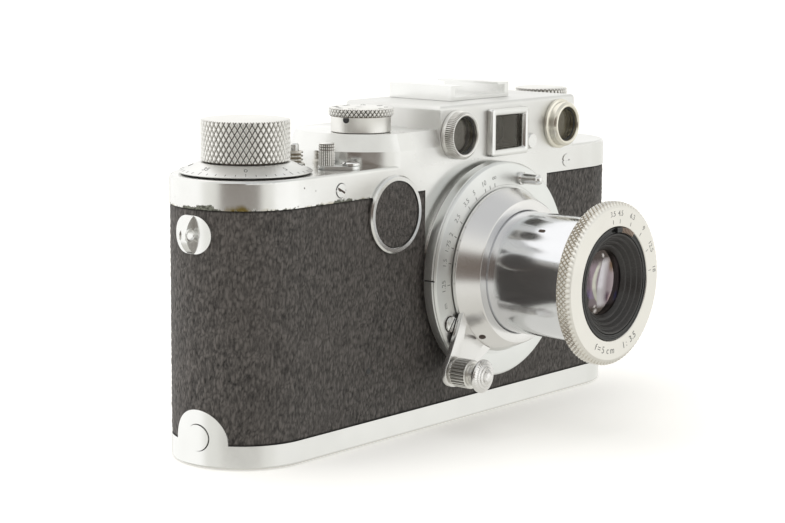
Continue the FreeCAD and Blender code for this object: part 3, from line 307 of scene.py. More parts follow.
# ---------------------------------------------------------------- engraved figures
def glyph(text, height, slim=0.0):
    """Points and faces of upright text centred on the origin, as a thin solid, in mm."""
    curve = bpy.data.curves.new("glyph", "FONT")
    curve.body = text
    curve.size = height * 1.38
    curve.align_x = "CENTER"
    curve.align_y = "CENTER"
    curve.offset = -slim
    curve.extrude = 0.02
    curve.resolution_u = 3
    thing = bpy.data.objects.new("glyph", curve)
    bpy.context.scene.collection.objects.link(thing)
    bpy.context.view_layer.update()
    mesh = bpy.data.meshes.new_from_object(thing)
    points = [tuple(vertex.co) for vertex in mesh.vertices]
    faces = [tuple(face.vertices) for face in mesh.polygons]
    bpy.data.objects.remove(thing)
    bpy.data.curves.remove(curve)
    bpy.data.meshes.remove(mesh)
    return points, faces


def tick(wide, tall):
    """A thin bar centred on the origin."""
    points = [(x * wide / 2, y * tall / 2, z) for z in (-0.02, 0.02)
              for x, y in ((-1, -1), (1, -1), (1, 1), (-1, 1))]
    faces = [(0, 3, 2, 1), (4, 5, 6, 7), (0, 1, 5, 4), (1, 2, 6, 5), (2, 3, 7, 6), (3, 0, 4, 7)]
    return points, faces


def engraving(name, marks, body, place, finish):
    """One mesh of marks, each given as (shape, matrix in mm)."""
    points = []
    faces = []
    for (shape_points, shape_faces), matrix in marks:
        start = len(points)
        points += [tuple(matrix @ Vector(point)) for point in shape_points]
        faces += [tuple(start + index for index in face) for face in shape_faces]
    return piece(name, points, faces, body, place, finish)


def round_the_axis(angle, radius, height, lean=0.0, inward=False):
    """A place on a turned face: figures stand with their tops outward, or inward."""
    turn = Matrix.Rotation(math.radians(angle), 4, "Z")
    shift = Matrix.Translation(Vector((radius, 0, height)))
    stand = Matrix.Rotation(math.radians(-lean), 4, "Y")
    spin = Matrix.Rotation(math.radians(90 if inward else -90), 4, "Z")
    return turn @ shift @ stand @ spin


# ---------------------------------------------------------------- materials
def new_material(name):
    material = bpy.data.materials.new(name)
    material.use_nodes = True
    tree = material.node_tree
    tree.nodes.clear()
    output = tree.nodes.new("ShaderNodeOutputMaterial")
    shader = tree.nodes.new("ShaderNodeBsdfPrincipled")
    tree.links.new(shader.outputs[0], output.inputs[0])
    return material, tree, shader


class Graph:
    """Short forms for building a node tree."""

    def __init__(self, tree):
        self.tree = tree
        coords = tree.nodes.new("ShaderNodeTexCoord")
        scale = tree.nodes.new("ShaderNodeVectorMath")
        scale.operation = "SCALE"
        scale.inputs["Scale"].default_value = 1 / MM
        self.link(coords.outputs["Object"], scale.inputs[0])
        self.place = scale.outputs[0]

    def link(self, source, target):
        if hasattr(source, "is_output"):
            self.tree.links.new(source, target)
        else:
            target.default_value = source

    def noise(self, scale, detail=3.0, rough=0.55, stretch=None, distort=0.0):
        """Noise with features about 1/scale mm across."""
        node = self.tree.nodes.new("ShaderNodeTexNoise")
        node.inputs["Scale"].default_value = scale
        node.inputs["Detail"].default_value = detail
        node.inputs["Roughness"].default_value = rough
        node.inputs["Distortion"].default_value = distort
        self.link(self.stretched(stretch) if stretch else self.place, node.inputs["Vector"])
        return node.outputs[0]

    def stretched(self, factors):
        node = self.tree.nodes.new("ShaderNodeVectorMath")
        node.operation = "MULTIPLY"
        node.inputs[1].default_value = factors
        self.link(self.place, node.inputs[0])
        return node.outputs[0]

    def cells(self, scale, stretch=None, feature="F1"):
        node = self.tree.nodes.new("ShaderNodeTexVoronoi")
        node.feature = feature
        node.inputs["Scale"].default_value = scale
        self.link(self.stretched(stretch) if stretch else self.place, node.inputs["Vector"])
        return node.outputs["Distance"]

    def spread(self, value, low, high, to_low=0.0, to_high=1.0):
        node = self.tree.nodes.new("ShaderNodeMapRange")
        for socket, number in zip(node.inputs[1:5], (low, high, to_low, to_high)):
            self.link(number, socket)
        self.link(value, node.inputs[0])
        return node.outputs[0]

    def math(self, operation, first, second=0.0):
        node = self.tree.nodes.new("ShaderNodeMath")
        node.operation = operation
        self.link(first, node.inputs[0])
        self.link(second, node.inputs[1])
        return node.outputs[0]

    def mix(self, share, first, second):
        node = self.tree.nodes.new("ShaderNodeMix")
        node.data_type = "RGBA"
        self.link(share, node.inputs["Factor"])
        self.link(first, node.inputs[6])
        self.link(second, node.inputs[7])
        return node.outputs[2]

    def bump(self, height, strength, distance):
        node = self.tree.nodes.new("ShaderNodeBump")
        node.inputs["Strength"].default_value = strength
        node.inputs["Distance"].default_value = distance
        self.link(height, node.inputs["Height"])
        return node.outputs[0]

    def sunk(self):
        """How deep a point is cut below its surface, from 0 to 1."""
        node = self.tree.nodes.new("ShaderNodeAttribute")
        node.attribute_name = "sunk"
        return node.outputs["Fac"]

    def axes(self):
        node = self.tree.nodes.new("ShaderNodeSeparateXYZ")
        self.link(self.place, node.inputs[0])
        return node.outputs


def colour(red, green, blue):
    return (red, green, blue, 1.0)


def metal(name, tint=(0.80, 0.80, 0.785), rough=0.2, variation=0.06, brushed=None, scratch=0.01,
          groove_grime_and_shade=None):
    """Plated or turned metal with patchy polish; the last argument is the colour painted into cut
    grooves, grime there plus painted shade.
    """
    material, tree, shader = new_material(name)
    graph = Graph(tree)
    patches = graph.noise(0.09, 4.0)
    fine = graph.noise(2.2, 5.0, stretch=brushed)
    rough_value = graph.math("ADD", graph.spread(patches, 0.3, 0.7, rough - variation / 2,
                                                 rough + variation / 2),
                             graph.spread(fine, 0.35, 0.7, -0.01, 0.03))
    tinted = graph.mix(graph.spread(patches, 0.35, 0.75), colour(*tint),
                       colour(*(channel * 0.95 for channel in tint)))
    shader.inputs["Metallic"].default_value = 1.0
    # cut grooves turn darker and less metallic: painted shade, with some grime
    if groove_grime_and_shade:
        grimy_shaded_grooves = graph.spread(graph.sunk(), 0.25, 0.95)
        tinted = graph.mix(grimy_shaded_grooves, tinted, colour(*groove_grime_and_shade))
        rough_value = graph.math("MAXIMUM", rough_value, graph.math("MULTIPLY", grimy_shaded_grooves, 0.6))
        graph.link(graph.spread(grimy_shaded_grooves, 0.2, 1.0, 1.0, 0.3), shader.inputs["Metallic"])
    graph.link(tinted, shader.inputs["Base Color"])
    graph.link(rough_value, shader.inputs["Roughness"])
    graph.link(graph.bump(fine, scratch, 0.00003), shader.inputs["Normal"])
    return material


def worn_chrome(name):
    """Satin chrome plate: brassing and dark chips along the lower edge of the cover, pits."""
    material, tree, shader = new_material(name)
    graph = Graph(tree)
    x, y, z = graph.axes()
    patches = graph.noise(0.07, 4.0)
    fine = graph.noise(2.4, 5.0)
    chrome = graph.mix(graph.spread(patches, 0.35, 0.75), colour(0.80, 0.80, 0.785),
                       colour(0.74, 0.735, 0.715))
    # wear gathers in the lowest strip of the band, mostly above the strap lug
    def window(value, start, full, late, end):
        rising = graph.spread(value, start, full)
        return graph.math("MULTIPLY", rising, graph.spread(value, end, late))

    strip = graph.math("MULTIPLY", graph.spread(z, BAND_BOTTOM + 2.4, BAND_BOTTOM),
                       graph.spread(x, -15.0, -19.0))
    winding_end = graph.spread(x, -57.0, -58.0)
    chip_zone = graph.math("MULTIPLY", window(y, -5.8, -5.0, -2.0, -0.9), winding_end)
    specks = graph.math("MULTIPLY", window(y, -8.0, -6.4, 1.2, 3.0), winding_end)
    brass_zone = graph.math("MULTIPLY", window(y, -11.8, -10.8, -9.0, -7.4), winding_end)
    blotch = graph.noise(0.85, 7.0, 0.72)
    below_screw = window(x, -43.0, -41.0, -37.0, -35.0)
    everywhere = graph.math("ADD", graph.math("MULTIPLY", below_screw, 0.14),
                            graph.math("MULTIPLY", specks, 0.12))
    chip_level = graph.math("ADD", graph.math("MULTIPLY", chip_zone, 0.3), everywhere)
    chip_level = graph.math("MULTIPLY", graph.math("ADD", chip_level, blotch), strip)
    chips = graph.spread(chip_level, 0.50, 0.53)
    brass_level = graph.math("ADD", graph.math("MULTIPLY", brass_zone, 0.5), graph.noise(0.35, 4.0))
    brass_zone = graph.spread(graph.math("MULTIPLY", brass_level, strip), 0.44, 0.86)
    pits = graph.spread(graph.cells(0.4), 0.085, 0.05)
    pits = graph.math("MULTIPLY", pits, graph.spread(graph.noise(0.15), 0.52, 0.58))
    pits = graph.math("MULTIPLY", pits, graph.spread(z, DECK_TOP - 0.6, DECK_TOP - 0.7))
    # the inside of the pressing is painted near-black and not metallic, as painted shade
    inner_height = graph.spread(z, COVER_HIGH.z - 0.5, COVER_HIGH.z - 0.6)
    inner_depth = graph.spread(graph.math("ABSOLUTE", y), COVER_RADIUS - 0.6, COVER_RADIUS - 0.7)
    inner_side = graph.spread(graph.math("ABSOLUTE", x), END_X - 8.2, END_X - 8.3)
    housing_side = graph.spread(x, -6.0, -5.9)
    inside = graph.math("MULTIPLY", graph.math("MULTIPLY", inner_height, inner_depth),
                        graph.math("MULTIPLY", inner_side, housing_side))
    above_deck = graph.spread(z, DECK_TOP + 0.1, DECK_TOP + 0.2)
    back_wall = graph.spread(y, 11.9, 11.8)
    inside = graph.math("MULTIPLY", inside, graph.math("MULTIPLY", above_deck, back_wall))
    paint = graph.mix(brass_zone, chrome, colour(0.36, 0.28, 0.09))
    paint = graph.mix(chips, paint, graph.mix(graph.spread(fine, 0.4, 0.6),
                                              colour(0.05, 0.048, 0.036),
                                              colour(0.19, 0.20, 0.16)))
    paint = graph.mix(pits, paint, colour(0.12, 0.11, 0.10))
    paint = graph.mix(inside, paint, colour(0.01, 0.01, 0.01))
    graph.link(paint, shader.inputs["Base Color"])
    # chips and pits are wear; the near-black inside is painted shade
    dark = graph.math("MAXIMUM", chips, graph.math("MAXIMUM", inside, pits))
    graph.link(graph.spread(dark, 0.0, 1.0, 1.0, 0.0), shader.inputs["Metallic"])
    rough = graph.math("ADD", graph.spread(patches, 0.3, 0.7, 0.18, 0.24),
                       graph.spread(fine, 0.35, 0.7, -0.01, 0.03))
    # the housing's front and walls are a duller satin
    housing = graph.math("MULTIPLY", graph.spread(x, -17.0, -12.0), graph.spread(z, 58.0, 62.0))
    rough = graph.math("ADD", rough, graph.math("MULTIPLY", housing, 0.2))
    graph.link(graph.math("MAXIMUM", rough, graph.math("MULTIPLY", dark, 0.7)),
               shader.inputs["Roughness"])
    relief = graph.math("SUBTRACT", graph.math("MULTIPLY", fine, 0.05), dark)
    graph.link(graph.bump(relief, 0.25, 0.00008), shader.inputs["Normal"])
    return material


def vulcanite(name):
    """Hard black-brown rubber: paler worn tops, darker pits between the wrinkles."""
    material, tree, shader = new_material(name)
    graph = Graph(tree)
    grain = graph.noise(2.6, 5.0, 0.7, stretch=(1.0, 1.0, 0.36))
    broad = graph.noise(0.05, 3.0)
    deep = graph.sunk()
    height = graph.math("SUBTRACT", graph.math("ADD", grain, 0.25), graph.math("MULTIPLY", deep, 0.8))
    base = graph.mix(graph.spread(height, 0.0, 0.5), colour(0.008, 0.007, 0.006),
                     colour(0.118, 0.106, 0.098))
    base = graph.mix(graph.spread(broad, 0.35, 0.7, 0.0, 0.25), base, colour(0.085, 0.072, 0.064))
    graph.link(base, shader.inputs["Base Color"])
    graph.link(graph.spread(height, 0.0, 0.6, 0.68, 0.42), shader.inputs["Roughness"])
    shader.inputs["Specular IOR Level"].default_value = 0.4
    graph.link(graph.bump(grain, 0.7, 0.00014), shader.inputs["Normal"])
    return material


def enamel(name, shade=0.02, rough=0.35, tint=(1.0, 1.0, 1.0)):
    """Black paint or anodising with uneven gloss."""
    material, tree, shader = new_material(name)
    graph = Graph(tree)
    patches = graph.noise(0.25, 4.0)
    dust = graph.noise(3.5, 4.0)
    dark = colour(*(shade * channel for channel in tint))
    pale = colour(*((shade * 1.7 + 0.008) * channel for channel in tint))
    graph.link(graph.mix(graph.spread(dust, 0.45, 0.75), dark, pale), shader.inputs["Base Color"])
    graph.link(graph.spread(patches, 0.3, 0.7, rough - 0.06, rough + 0.1),
               shader.inputs["Roughness"])
    graph.link(graph.bump(dust, 0.08, 0.00005), shader.inputs["Normal"])
    return material


def paint_fill(name, shade=(0.07, 0.07, 0.07)):
    """Dark wax in engraved figures, unevenly worn."""
    material, tree, shader = new_material(name)
    graph = Graph(tree)
    worn = graph.noise(1.4, 5.0)
    graph.link(graph.mix(graph.spread(worn, 0.42, 0.66), colour(*shade), colour(0.34, 0.34, 0.33)),
               shader.inputs["Base Color"])
    graph.link(graph.spread(worn, 0.3, 0.7, 0.5, 0.75), shader.inputs["Roughness"])
    return material


def coating(graph, bright, dim):
    """Painted reflections on a curved lens, drawn into its glossy colour: two lit crescents, dull
    patches and small glints.
    """
    x, y, _ = graph.axes()
    squared = graph.math("MULTIPLY", y, y)
    height = graph.math("ABSOLUTE", y)

    def arc(bend, lean):
        bowed = graph.math("SUBTRACT", x, graph.math("MULTIPLY", squared, bend))
        return graph.math("SUBTRACT", bowed, graph.math("MULTIPLY", y, lean))

    def window(value, start, full, late, end):
        return graph.math("MULTIPLY", graph.spread(value, start, full),
                          graph.spread(value, end, late))

    def patch(across, up, inner, outer):
        reach = graph.math("POWER", graph.math("SUBTRACT", x, across), 2.0)
        rise = graph.math("POWER", graph.math("SUBTRACT", y, up), 2.0)
        return graph.spread(graph.math("SQRT", graph.math("ADD", reach, rise)), outer, inner)

    # painted reflections: dark edges and tinted patches first, then lit crescents and glints
    shade = graph.mix(graph.spread(x, 5.9, 6.7), colour(*dim), colour(0.10, 0.08, 0.11))
    shade = graph.mix(graph.spread(x, -4.9, -5.5), shade, colour(0.17, 0.16, 0.15))
    for share, tone in (
            (graph.spread(y, 3.6, 5.6), (0.15, 0.125, 0.115)),
            (graph.spread(y, -4.4, -5.4), (0.19, 0.16, 0.145)),
            (patch(2.5, 3.6, 0.4, 2.0), (0.25, 0.17, 0.12)),
            (patch(0.5, -3.2, 0.5, 1.6), (0.15, 0.10, 0.13)),
            (patch(2.3, -3.6, 0.3, 1.5), (0.60, 0.45, 0.45)),
            (patch(4.9, -3.5, 0.2, 1.4), (0.30, 0.30, 0.70))):
        shade = graph.mix(share, shade, colour(*tone))
    thin = graph.math("MULTIPLY", window(arc(0.12, 0.0), -4.9, -4.5, -3.9, -3.3),
                      graph.spread(height, 5.0, 3.4))
    broad = graph.math("MULTIPLY", window(arc(0.06, 0.17), -3.2, -2.8, -1.9, 0.4),
                       graph.spread(height, 5.6, 4.4))
    glints = graph.math("ADD", patch(-0.2, 6.0, 0.15, 0.6), patch(-3.2, -4.9, 0.15, 0.5))
    glints = graph.math("ADD", glints, patch(-2.7, -6.0, 0.2, 0.7))
    shade = graph.mix(thin, shade, colour(1.0, 1.0, 0.86))
    shade = graph.mix(broad, shade, colour(*bright))
    return graph.mix(graph.math("MINIMUM", glints, 1.0), shade, colour(1.1, 1.05, 1.05))


def clear_glass(name, tint=(0.9, 0.92, 1.0), coat=(0.55, 0.45, 0.9), darkness=0.1, shine=0.5,
                dim=None):
    """Window or lens glass; when dim is given, reflections are painted into the glossy colour, dim
    being their colour away from the lit side.
    """
    material, tree, shader = new_material(name)
    graph = Graph(tree)
    tree.nodes.remove(shader)
    output = next(node for node in tree.nodes if node.type == "OUTPUT_MATERIAL")
    through = tree.nodes.new("ShaderNodeBsdfTransparent")
    smudge = graph.noise(0.35, 4.0)
    through.inputs[0].default_value = colour(*(channel * (1 - darkness) for channel in tint))
    mirror = tree.nodes.new("ShaderNodeBsdfGlossy")
    mirror.inputs["Color"].default_value = colour(*coat)
    if dim:
        graph.link(coating(graph, coat, dim), mirror.inputs["Color"])
    graph.link(graph.spread(smudge, 0.4, 0.7, 0.01, 0.06), mirror.inputs["Roughness"])
    fresnel = tree.nodes.new("ShaderNodeFresnel")
    fresnel.inputs["IOR"].default_value = 1.62
    share = graph.math("ADD", graph.math("MULTIPLY", fresnel.outputs[0], 1.0 + shine),
                       graph.spread(smudge, 0.4, 0.75, 0.0, 0.03))
    blend = tree.nodes.new("ShaderNodeMixShader")
    graph.link(share, blend.inputs[0])
    tree.links.new(through.outputs[0], blend.inputs[1])
    tree.links.new(mirror.outputs[0], blend.inputs[2])
    tree.links.new(blend.outputs[0], output.inputs[0])
    return material


# colour painted into knurl grooves: painted shade, with some grime
GROOVE_GRIME_AND_SHADE = (0.10, 0.075, 0.05)
CHROME = metal("satin_chrome", rough=0.2)
COVER_CHROME = worn_chrome("worn_cover_chrome")
KNURL_CHROME = metal("knurl_chrome", (0.86, 0.85, 0.82), 0.36, groove_grime_and_shade=GROOVE_GRIME_AND_SHADE)
FINE_KNURL = metal("fine_knurl_chrome", (0.84, 0.82, 0.77), 0.3, groove_grime_and_shade=(0.42, 0.36, 0.27))
DIAL_CHROME = metal("dial_chrome", (0.84, 0.84, 0.825), 0.34, brushed=(1.0, 1.0, 0.3))
RING_CHROME = metal("ring_chrome", (0.82, 0.81, 0.80), 0.22, 0.02, scratch=0.003)
SCALE_CHROME = metal("scale_chrome", (0.80, 0.81, 0.795), 0.36, 0.03, scratch=0.004)
POLISHED = metal("polished_tube", (0.80, 0.81, 0.835), 0.13, 0.02, scratch=0.002)
WARM_CHROME = metal("yellowed_chrome", (0.80, 0.77, 0.68), 0.22, 0.03)
STEEL = metal("oiled_steel", (0.42, 0.42, 0.42), 0.34)
BRASS = metal("turned_brass", (0.70, 0.55, 0.26), 0.3)
TAB_METAL = metal("aperture_tab_metal", (0.42, 0.33, 0.27), 0.36, groove_grime_and_shade=(0.05, 0.035, 0.03))
# dark brown painted into slots, holes and screw seats as their shade
SLOT_SHADE = enamel("painted_slot_shade", 0.05, 0.5, (1.0, 0.62, 0.45))
# grey ring painted round a screw head as the shade in its seam
SEAM_SHADE = enamel("painted_seam_shade", 0.16, 0.5)
ALLOY = metal("cast_alloy", (0.25, 0.25, 0.26), 0.5)
LEATHER = vulcanite("vulcanite")
BLACK = enamel("black_enamel", 0.02, 0.4)
GLOSS_BLACK = enamel("gloss_black_ring", 0.012, 0.16)
CELL_BLACK = enamel("lens_cell_black", 0.03, 0.42, (1.0, 0.93, 0.88))
CLOTH = enamel("curtain_cloth", 0.02, 0.8)
DIM_OPTIC = enamel("dim_finder_optic", 0.075, 0.3, (1.0, 0.93, 0.90))
YELLOW_OPTIC = enamel("yellow_finder_optic", 0.16, 0.3, (1.0, 0.88, 0.62))
# pale plate painted as daylight seen through the eyepiece
DAYLIGHT_PATCH = enamel("painted_daylight_patch", 0.45, 0.5, (0.98, 1.0, 1.0))
INK = paint_fill("engraving_fill")
# the front lens carries reflections painted into its glossy colour
FRONT_GLASS = clear_glass("front_lens_glass", (0.93, 0.9, 0.97), (1.0, 0.96, 1.0), 0.05, 5.0,
                          (0.44, 0.37, 0.40))
LENS_GLASS = clear_glass("coated_lens_glass", (0.93, 0.9, 0.97), (0.80, 0.66, 0.98), 0.05, 1.2)
WINDOW_GLASS = clear_glass("window_glass", (0.95, 0.95, 0.93), (0.40, 0.38, 0.35), 0.04, -0.7)


# ---------------------------------------------------------------- covering
def grain_height(x, y, z):
    """Wrinkled pebble relief between 0 and 1 at a place on the covering, in mm."""
    drift = noise.noise_vector(Vector((x, y, z)) * 0.35) * 0.9
    spot = Vector((x * 1.55, y * 1.55, z * 0.62)) + drift
    distances, _ = noise.voronoi(spot)
    ridge = min(1.0, (distances[1] - distances[0]) * 1.5)
    fine = noise.noise(Vector((x * 2.1, y * 2.1, z * 0.8)))
    return 0.55 * ridge + 0.45 * (0.5 + 0.5 * fine)


def stadium_point(distance, radius):
    """The place and outward normal at a distance along a stadium, starting front left."""
    straight_length = 2 * END_X
    arc = math.pi * radius
    if distance < straight_length:
        return (-END_X + distance, -radius), (0.0, -1.0)
    distance -= straight_length
    if distance < arc:
        angle = -math.pi / 2 + distance / radius
        return ((END_X + radius * math.cos(angle), radius * math.sin(angle)),
                (math.cos(angle), math.sin(angle)))
    distance -= arc
    if distance < straight_length:
        return (END_X - distance, radius), (0.0, 1.0)
    distance -= straight_length
    angle = math.pi / 2 + distance / radius
    return ((-END_X + radius * math.cos(angle), radius * math.sin(angle)),
            (math.cos(angle), math.sin(angle)))


GRAIN_DEPTH = 0.28
MOUNT_CLEARANCE = 20.6      # radius left free round the lens mount


def make_covering():
    spacing = 0.26
    around = int((4 * END_X + 2 * math.pi * LEATHER_RADIUS) / spacing)
    rows = int((COVERING_HIGH.z - COVERING_LOW.z) / spacing)
    length = 4 * END_X + 2 * math.pi * LEATHER_RADIUS
    points = []
    sunk = []
    for row in range(rows + 1):
        z = COVERING_LOW.z + (COVERING_HIGH.z - COVERING_LOW.z) * row / rows
        border = min(1.0, min(row, rows - row) / 2.0)
        for step in range(around):
            (x, y), normal = stadium_point(length * step / around, LEATHER_RADIUS)
            sunk.append(1 - grain_height(x, y, z) * border)
            sink = GRAIN_DEPTH * sunk[-1] - 0.09
            points.append((x - normal[0] * sink, y - normal[1] * sink, z))
    inner_start = len(points)
    for row in (0, rows):
        z = COVERING_LOW.z if row == 0 else COVERING_HIGH.z
        for step in range(around):
            (x, y), normal = stadium_point(length * step / around, LEATHER_RADIUS)
            points.append((x - normal[0] * 0.42, y - normal[1] * 0.42, z))
            sunk.append(1.0)
    faces = []
    for row in range(rows):
        for step in range(around):
            beside = (step + 1) % around
            corner = points[row * around + step]
            reach = math.hypot(corner[0] - LENS_X, corner[2] - LENS_Z)
            if corner[1] < 0 and reach < MOUNT_CLEARANCE:
                continue
            faces.append((row * around + step, row * around + beside,
                          (row + 1) * around + beside, (row + 1) * around + step))
    for step in range(around):
        beside = (step + 1) % around
        faces.append((step, beside, inner_start + beside, inner_start + step))
        top = rows * around
        faces.append((top + step, top + beside, inner_start + around + beside,
                      inner_start + around + step))
    piece("covering", points, faces, "body", None, LEATHER, sharp=180,
          stands_for=("body_covering",), sunk=sunk)


def make_plug_insert():
    low, high = span("dial_plug_insert")
    centre = (low + high) / 2
    radius = (high.x - low.x) / 2
    rings = 44
    turns = 150
    front = -low.y
    points = [(0.0, 0.0, front)]
    sunk = [0.5]
    faces = []
    for ring in range(1, rings + 1):
        reach = radius * ring / rings
        for step in range(turns):
            angle = 2 * math.pi * step / turns
            x, z = reach * math.cos(angle), reach * math.sin(angle)
            border = min(1.0, (rings - ring) / 2.0)
            sunk.append(1 - grain_height(centre.x + x, 0, centre.z + z) * border)
            points.append((x, z, front - GRAIN_DEPTH * sunk[-1]))
    for step in range(turns):
        faces.append((0, 1 + step, 1 + (step + 1) % turns))
    for ring in range(rings - 1):
        for step in range(turns):
            beside = (step + 1) % turns
            start = 1 + ring * turns
            faces.append((start + step, start + beside, start + turns + beside,
                          start + turns + step))
    piece("plug_covering", points, faces, "body", looking(FORWARD, centre.x, 0, centre.z),
          LEATHER, sharp=180, stands_for=("dial_plug_insert",), sunk=sunk)


# ---------------------------------------------------------------- knobs and dials on the deck
def make_wind_knob():
    low, high = span("wind_knob")
    radius = (high.x - low.x) / 2
    bottom, top = low.z, high.z - 0.45
    below = [(2.3, bottom), (radius - 0.75, bottom), (radius - 0.45, bottom)]
    above = [(radius - 0.45, top), (radius - 0.75, top + 0.06), (radius - 1.6, top + 0.12),
             (4.5, top + 0.3), (2.0, top + 0.38), (0.0, top + 0.4), (0.0, bottom + 1),
             (2.3, bottom + 1)]
    knurled("wind_knob_knurled", below, above, radius, bottom + 0.03, top - 0.12, 48, 2.05, 0.4,
            "wind", upright(WIND.x, WIND.y), KNURL_CHROME, ("wind_knob",), edge=0.17)


def make_counter():
    low, high = COUNTER_LOW, COUNTER_HIGH
    radius = (high.x - low.x) / 2
    rim = 9.6
    profile = [(2.4, low.z), (radius - 0.5, low.z), (radius, low.z + 0.25),
               (radius, low.z + 0.45), (rim, high.z), (2.4, high.z)]
    place = upright(WIND.x, WIND.y)
    lathe("counter_dial", profile, "counter", place, DIAL_CHROME, 0.1, 192,
          ("frame_counter_dial",))
    rise = high.z - (low.z + 0.45)
    run = radius - rim
    lean = -math.degrees(math.atan2(rise, run))
    facing = -136.0

    def on_cone(angle, reach, inward=True):
        height = low.z + 0.45 + rise * (radius - reach) / run + 0.005
        return round_the_axis(angle, reach, height, lean, inward)

    marks = []
    for index in range(40):
        angle = facing + index * 9.0
        tall = 1.1 if index % 5 == 0 else 0.65
        marks.append((tick(0.13, tall), on_cone(angle, radius - 0.3 - tall / 2)))
        if index % 5 == 0:
            marks.append((glyph(str(index), 1.3, 0.012), on_cone(angle, radius - 2.55)))
    engraving("counter_figures", marks, "counter", place, INK)


def make_speed_dial():
    low, high = span("speed_dial")
    radius = (high.x - low.x) / 2
    neck = 6.55
    bottom, top = low.z, high.z
    rim_low = bottom + 3.3
    below = [(1.3, bottom), (neck - 0.1, bottom), (neck, bottom + 0.1), (neck, rim_low - 0.12),
             (neck + 0.05, rim_low), (radius - 0.35, rim_low)]
    above = [(radius - 0.3, top - 0.08), (radius - 0.5, top), (1.4, top), (1.2, top - 0.15),
             (0.0, top - 0.15), (0.0, bottom + 1), (1.3, bottom + 1)]
    place = upright(SPEED.x, SPEED.y)
    knurled("speed_dial_knurled", below, above, radius, rim_low + 0.1, top - 0.15, 44, 1.3, 0.34,
            "speed_knob", place, KNURL_CHROME, ("speed_dial",), per_cell=6)
    hole_angle = -168.5
    hole = round_the_axis(hole_angle, neck + 0.01, bottom + 2.85)
    out = Matrix.Rotation(math.radians(90), 4, "X")
    # a flat black disc painted on as the shade in the set screw's hole
    ring_points, ring_faces = revolve([(0.0, -0.1), (0.7, -0.1), (0.75, 0.02), (0.0, 0.02)], 24)
    engraving("speed_dial_set_screw_hole_shade", [((ring_points, ring_faces), hole @ out)], "speed_knob",
              place, BLACK)
    speeds = ("B", "30", "40", "60", "100", "200", "500", "1000")
    marks = []
    for index, word in enumerate(speeds):
        angle = -90.0 + index * 42.0
        marks.append((glyph(word, 0.95, 0.008), round_the_axis(angle, radius - 1.7, top + 0.005)))
        marks.append((tick(0.12, 0.5), round_the_axis(angle, radius - 0.8, top + 0.005)))
    engraving("speed_dial_figures", marks, "speed_knob", place, INK)


def make_rewind_knob():
    low, high = span("rewind_knob")
    radius = (high.x - low.x) / 2
    bottom, top = low.z, high.z - 0.1
    rim_low = bottom + 5.6
    hub = 5.2
    below = [(2.2, bottom), (hub - 0.15, bottom), (hub, bottom + 0.15), (hub, rim_low - 0.5),
             (radius - 0.5, rim_low - 0.05)]
    above = [(radius - 0.35, top - 0.1), (radius - 0.6, top), (3.0, top + 0.06), (0.0, top + 0.08),
             (0.0, bottom + 1), (2.2, bottom + 1)]
    place = upright(REWIND.x, REWIND.y)
    knurled("rewind_knob_knurled", below, above, radius, rim_low + 0.2, top - 0.3, 40, 1.7, 0.3,
            "rewind_top", place, KNURL_CHROME, ("rewind_knob",))


def make_release():
    low, high = span("release_collar")
    centre = (low + high) / 2
    profile = [(1.2, low.z), (2.4, low.z), (2.4, low.z + 0.5), (2.05, low.z + 0.8)]
    pitch = 0.8
    for turn in range(3):
        start = low.z + 0.85 + turn * pitch
        profile += [(1.6, start), (1.6, start + 0.22), (2.0, start + 0.36), (2.0, start + 0.68),
                    (1.6, start + 0.8)]
    profile += [(1.5, high.z), (1.2, high.z)]
    place = upright(centre.x, centre.y)

    def between_ribs(radius, height, angle):
        return 1.0 if radius < 1.65 and height < high.z - 0.01 else 0.0

    turned("release_collar_threaded", profile, 64, 0.12, between_ribs, "body", place, FINE_KNURL,
           ("release_collar",))
    low, high = span("release_button")
    profile = [(0.0, low.z), (1.1, low.z), (1.1, high.z - 0.75), (1.1, high.z - 0.3),
               (0.85, high.z), (0.45, high.z - 0.08), (0.0, high.z - 0.22)]
    lathe("release_button_turned", profile, "release", place, CHROME, 0.08, 48,
          ("release_button",))


def capsule(start, end, radius_start, radius_end, steps=18):
    """Outline round two circles."""
    along = Vector(end) - Vector(start)
    heading = math.atan2(along.y, along.x)
    spread = math.acos(max(-1.0, min(1.0, (radius_start - radius_end) / along.length)))
    outline = []
    for centre, radius, first, last in ((start, radius_start, spread, 2 * math.pi - spread),
                                        (end, radius_end, -spread, spread)):
        for step in range(steps + 1):
            angle = heading + first + (last - first) * step / steps
            outline.append((centre[0] + radius * math.cos(angle),
                            centre[1] + radius * math.sin(angle)))
    return outline


def make_reversing_lever():
    low, high = span("reversing_lever")
    screw = middle("reversing_lever_screw")
    post = Vector((low.x + 1.9, high.y - 1.9))
    outline = capsule((screw.x, screw.y), (post.x, post.y), 1.9, 1.9)
    arm = slab("lever_arm", outline, low.z, low.z + 0.75, "reverser", None, SCALE_CHROME, 0.12)
    per_cell = 6
    radius = 1.73
    below = [(0.0, low.z + 0.7), (radius - 0.15, low.z + 0.7)]
    above = [(radius - 0.15, high.z - 0.12), (radius - 0.35, high.z), (0.9, high.z + 0.02),
             (0.0, high.z + 0.03)]
    rows = band_rows(low.z + 0.85, high.z - 0.2, 64)
    profile = below + [(radius, height) for height in rows] + above

    def sunk_at(reach, height, angle):
        if abs(reach - radius) > 1e-6:
            return 0.0
        level = ((height - rows[0]) / 0.59) % 1.0
        crossed = 1.0 if height > high.z - 2.0 else 0.35
        return max(straight(angle, 22), crossed * (1 - min(1.0, abs(level - 0.5) / 0.3)))

    knurl = turned("lever_post", profile, 22 * per_cell, 0.2, sunk_at, "reverser",
                   upright(post.x, post.y), KNURL_CHROME)
    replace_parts(arm, "reversing_lever")
    join("reversing_lever_knurled", [arm, knurl])


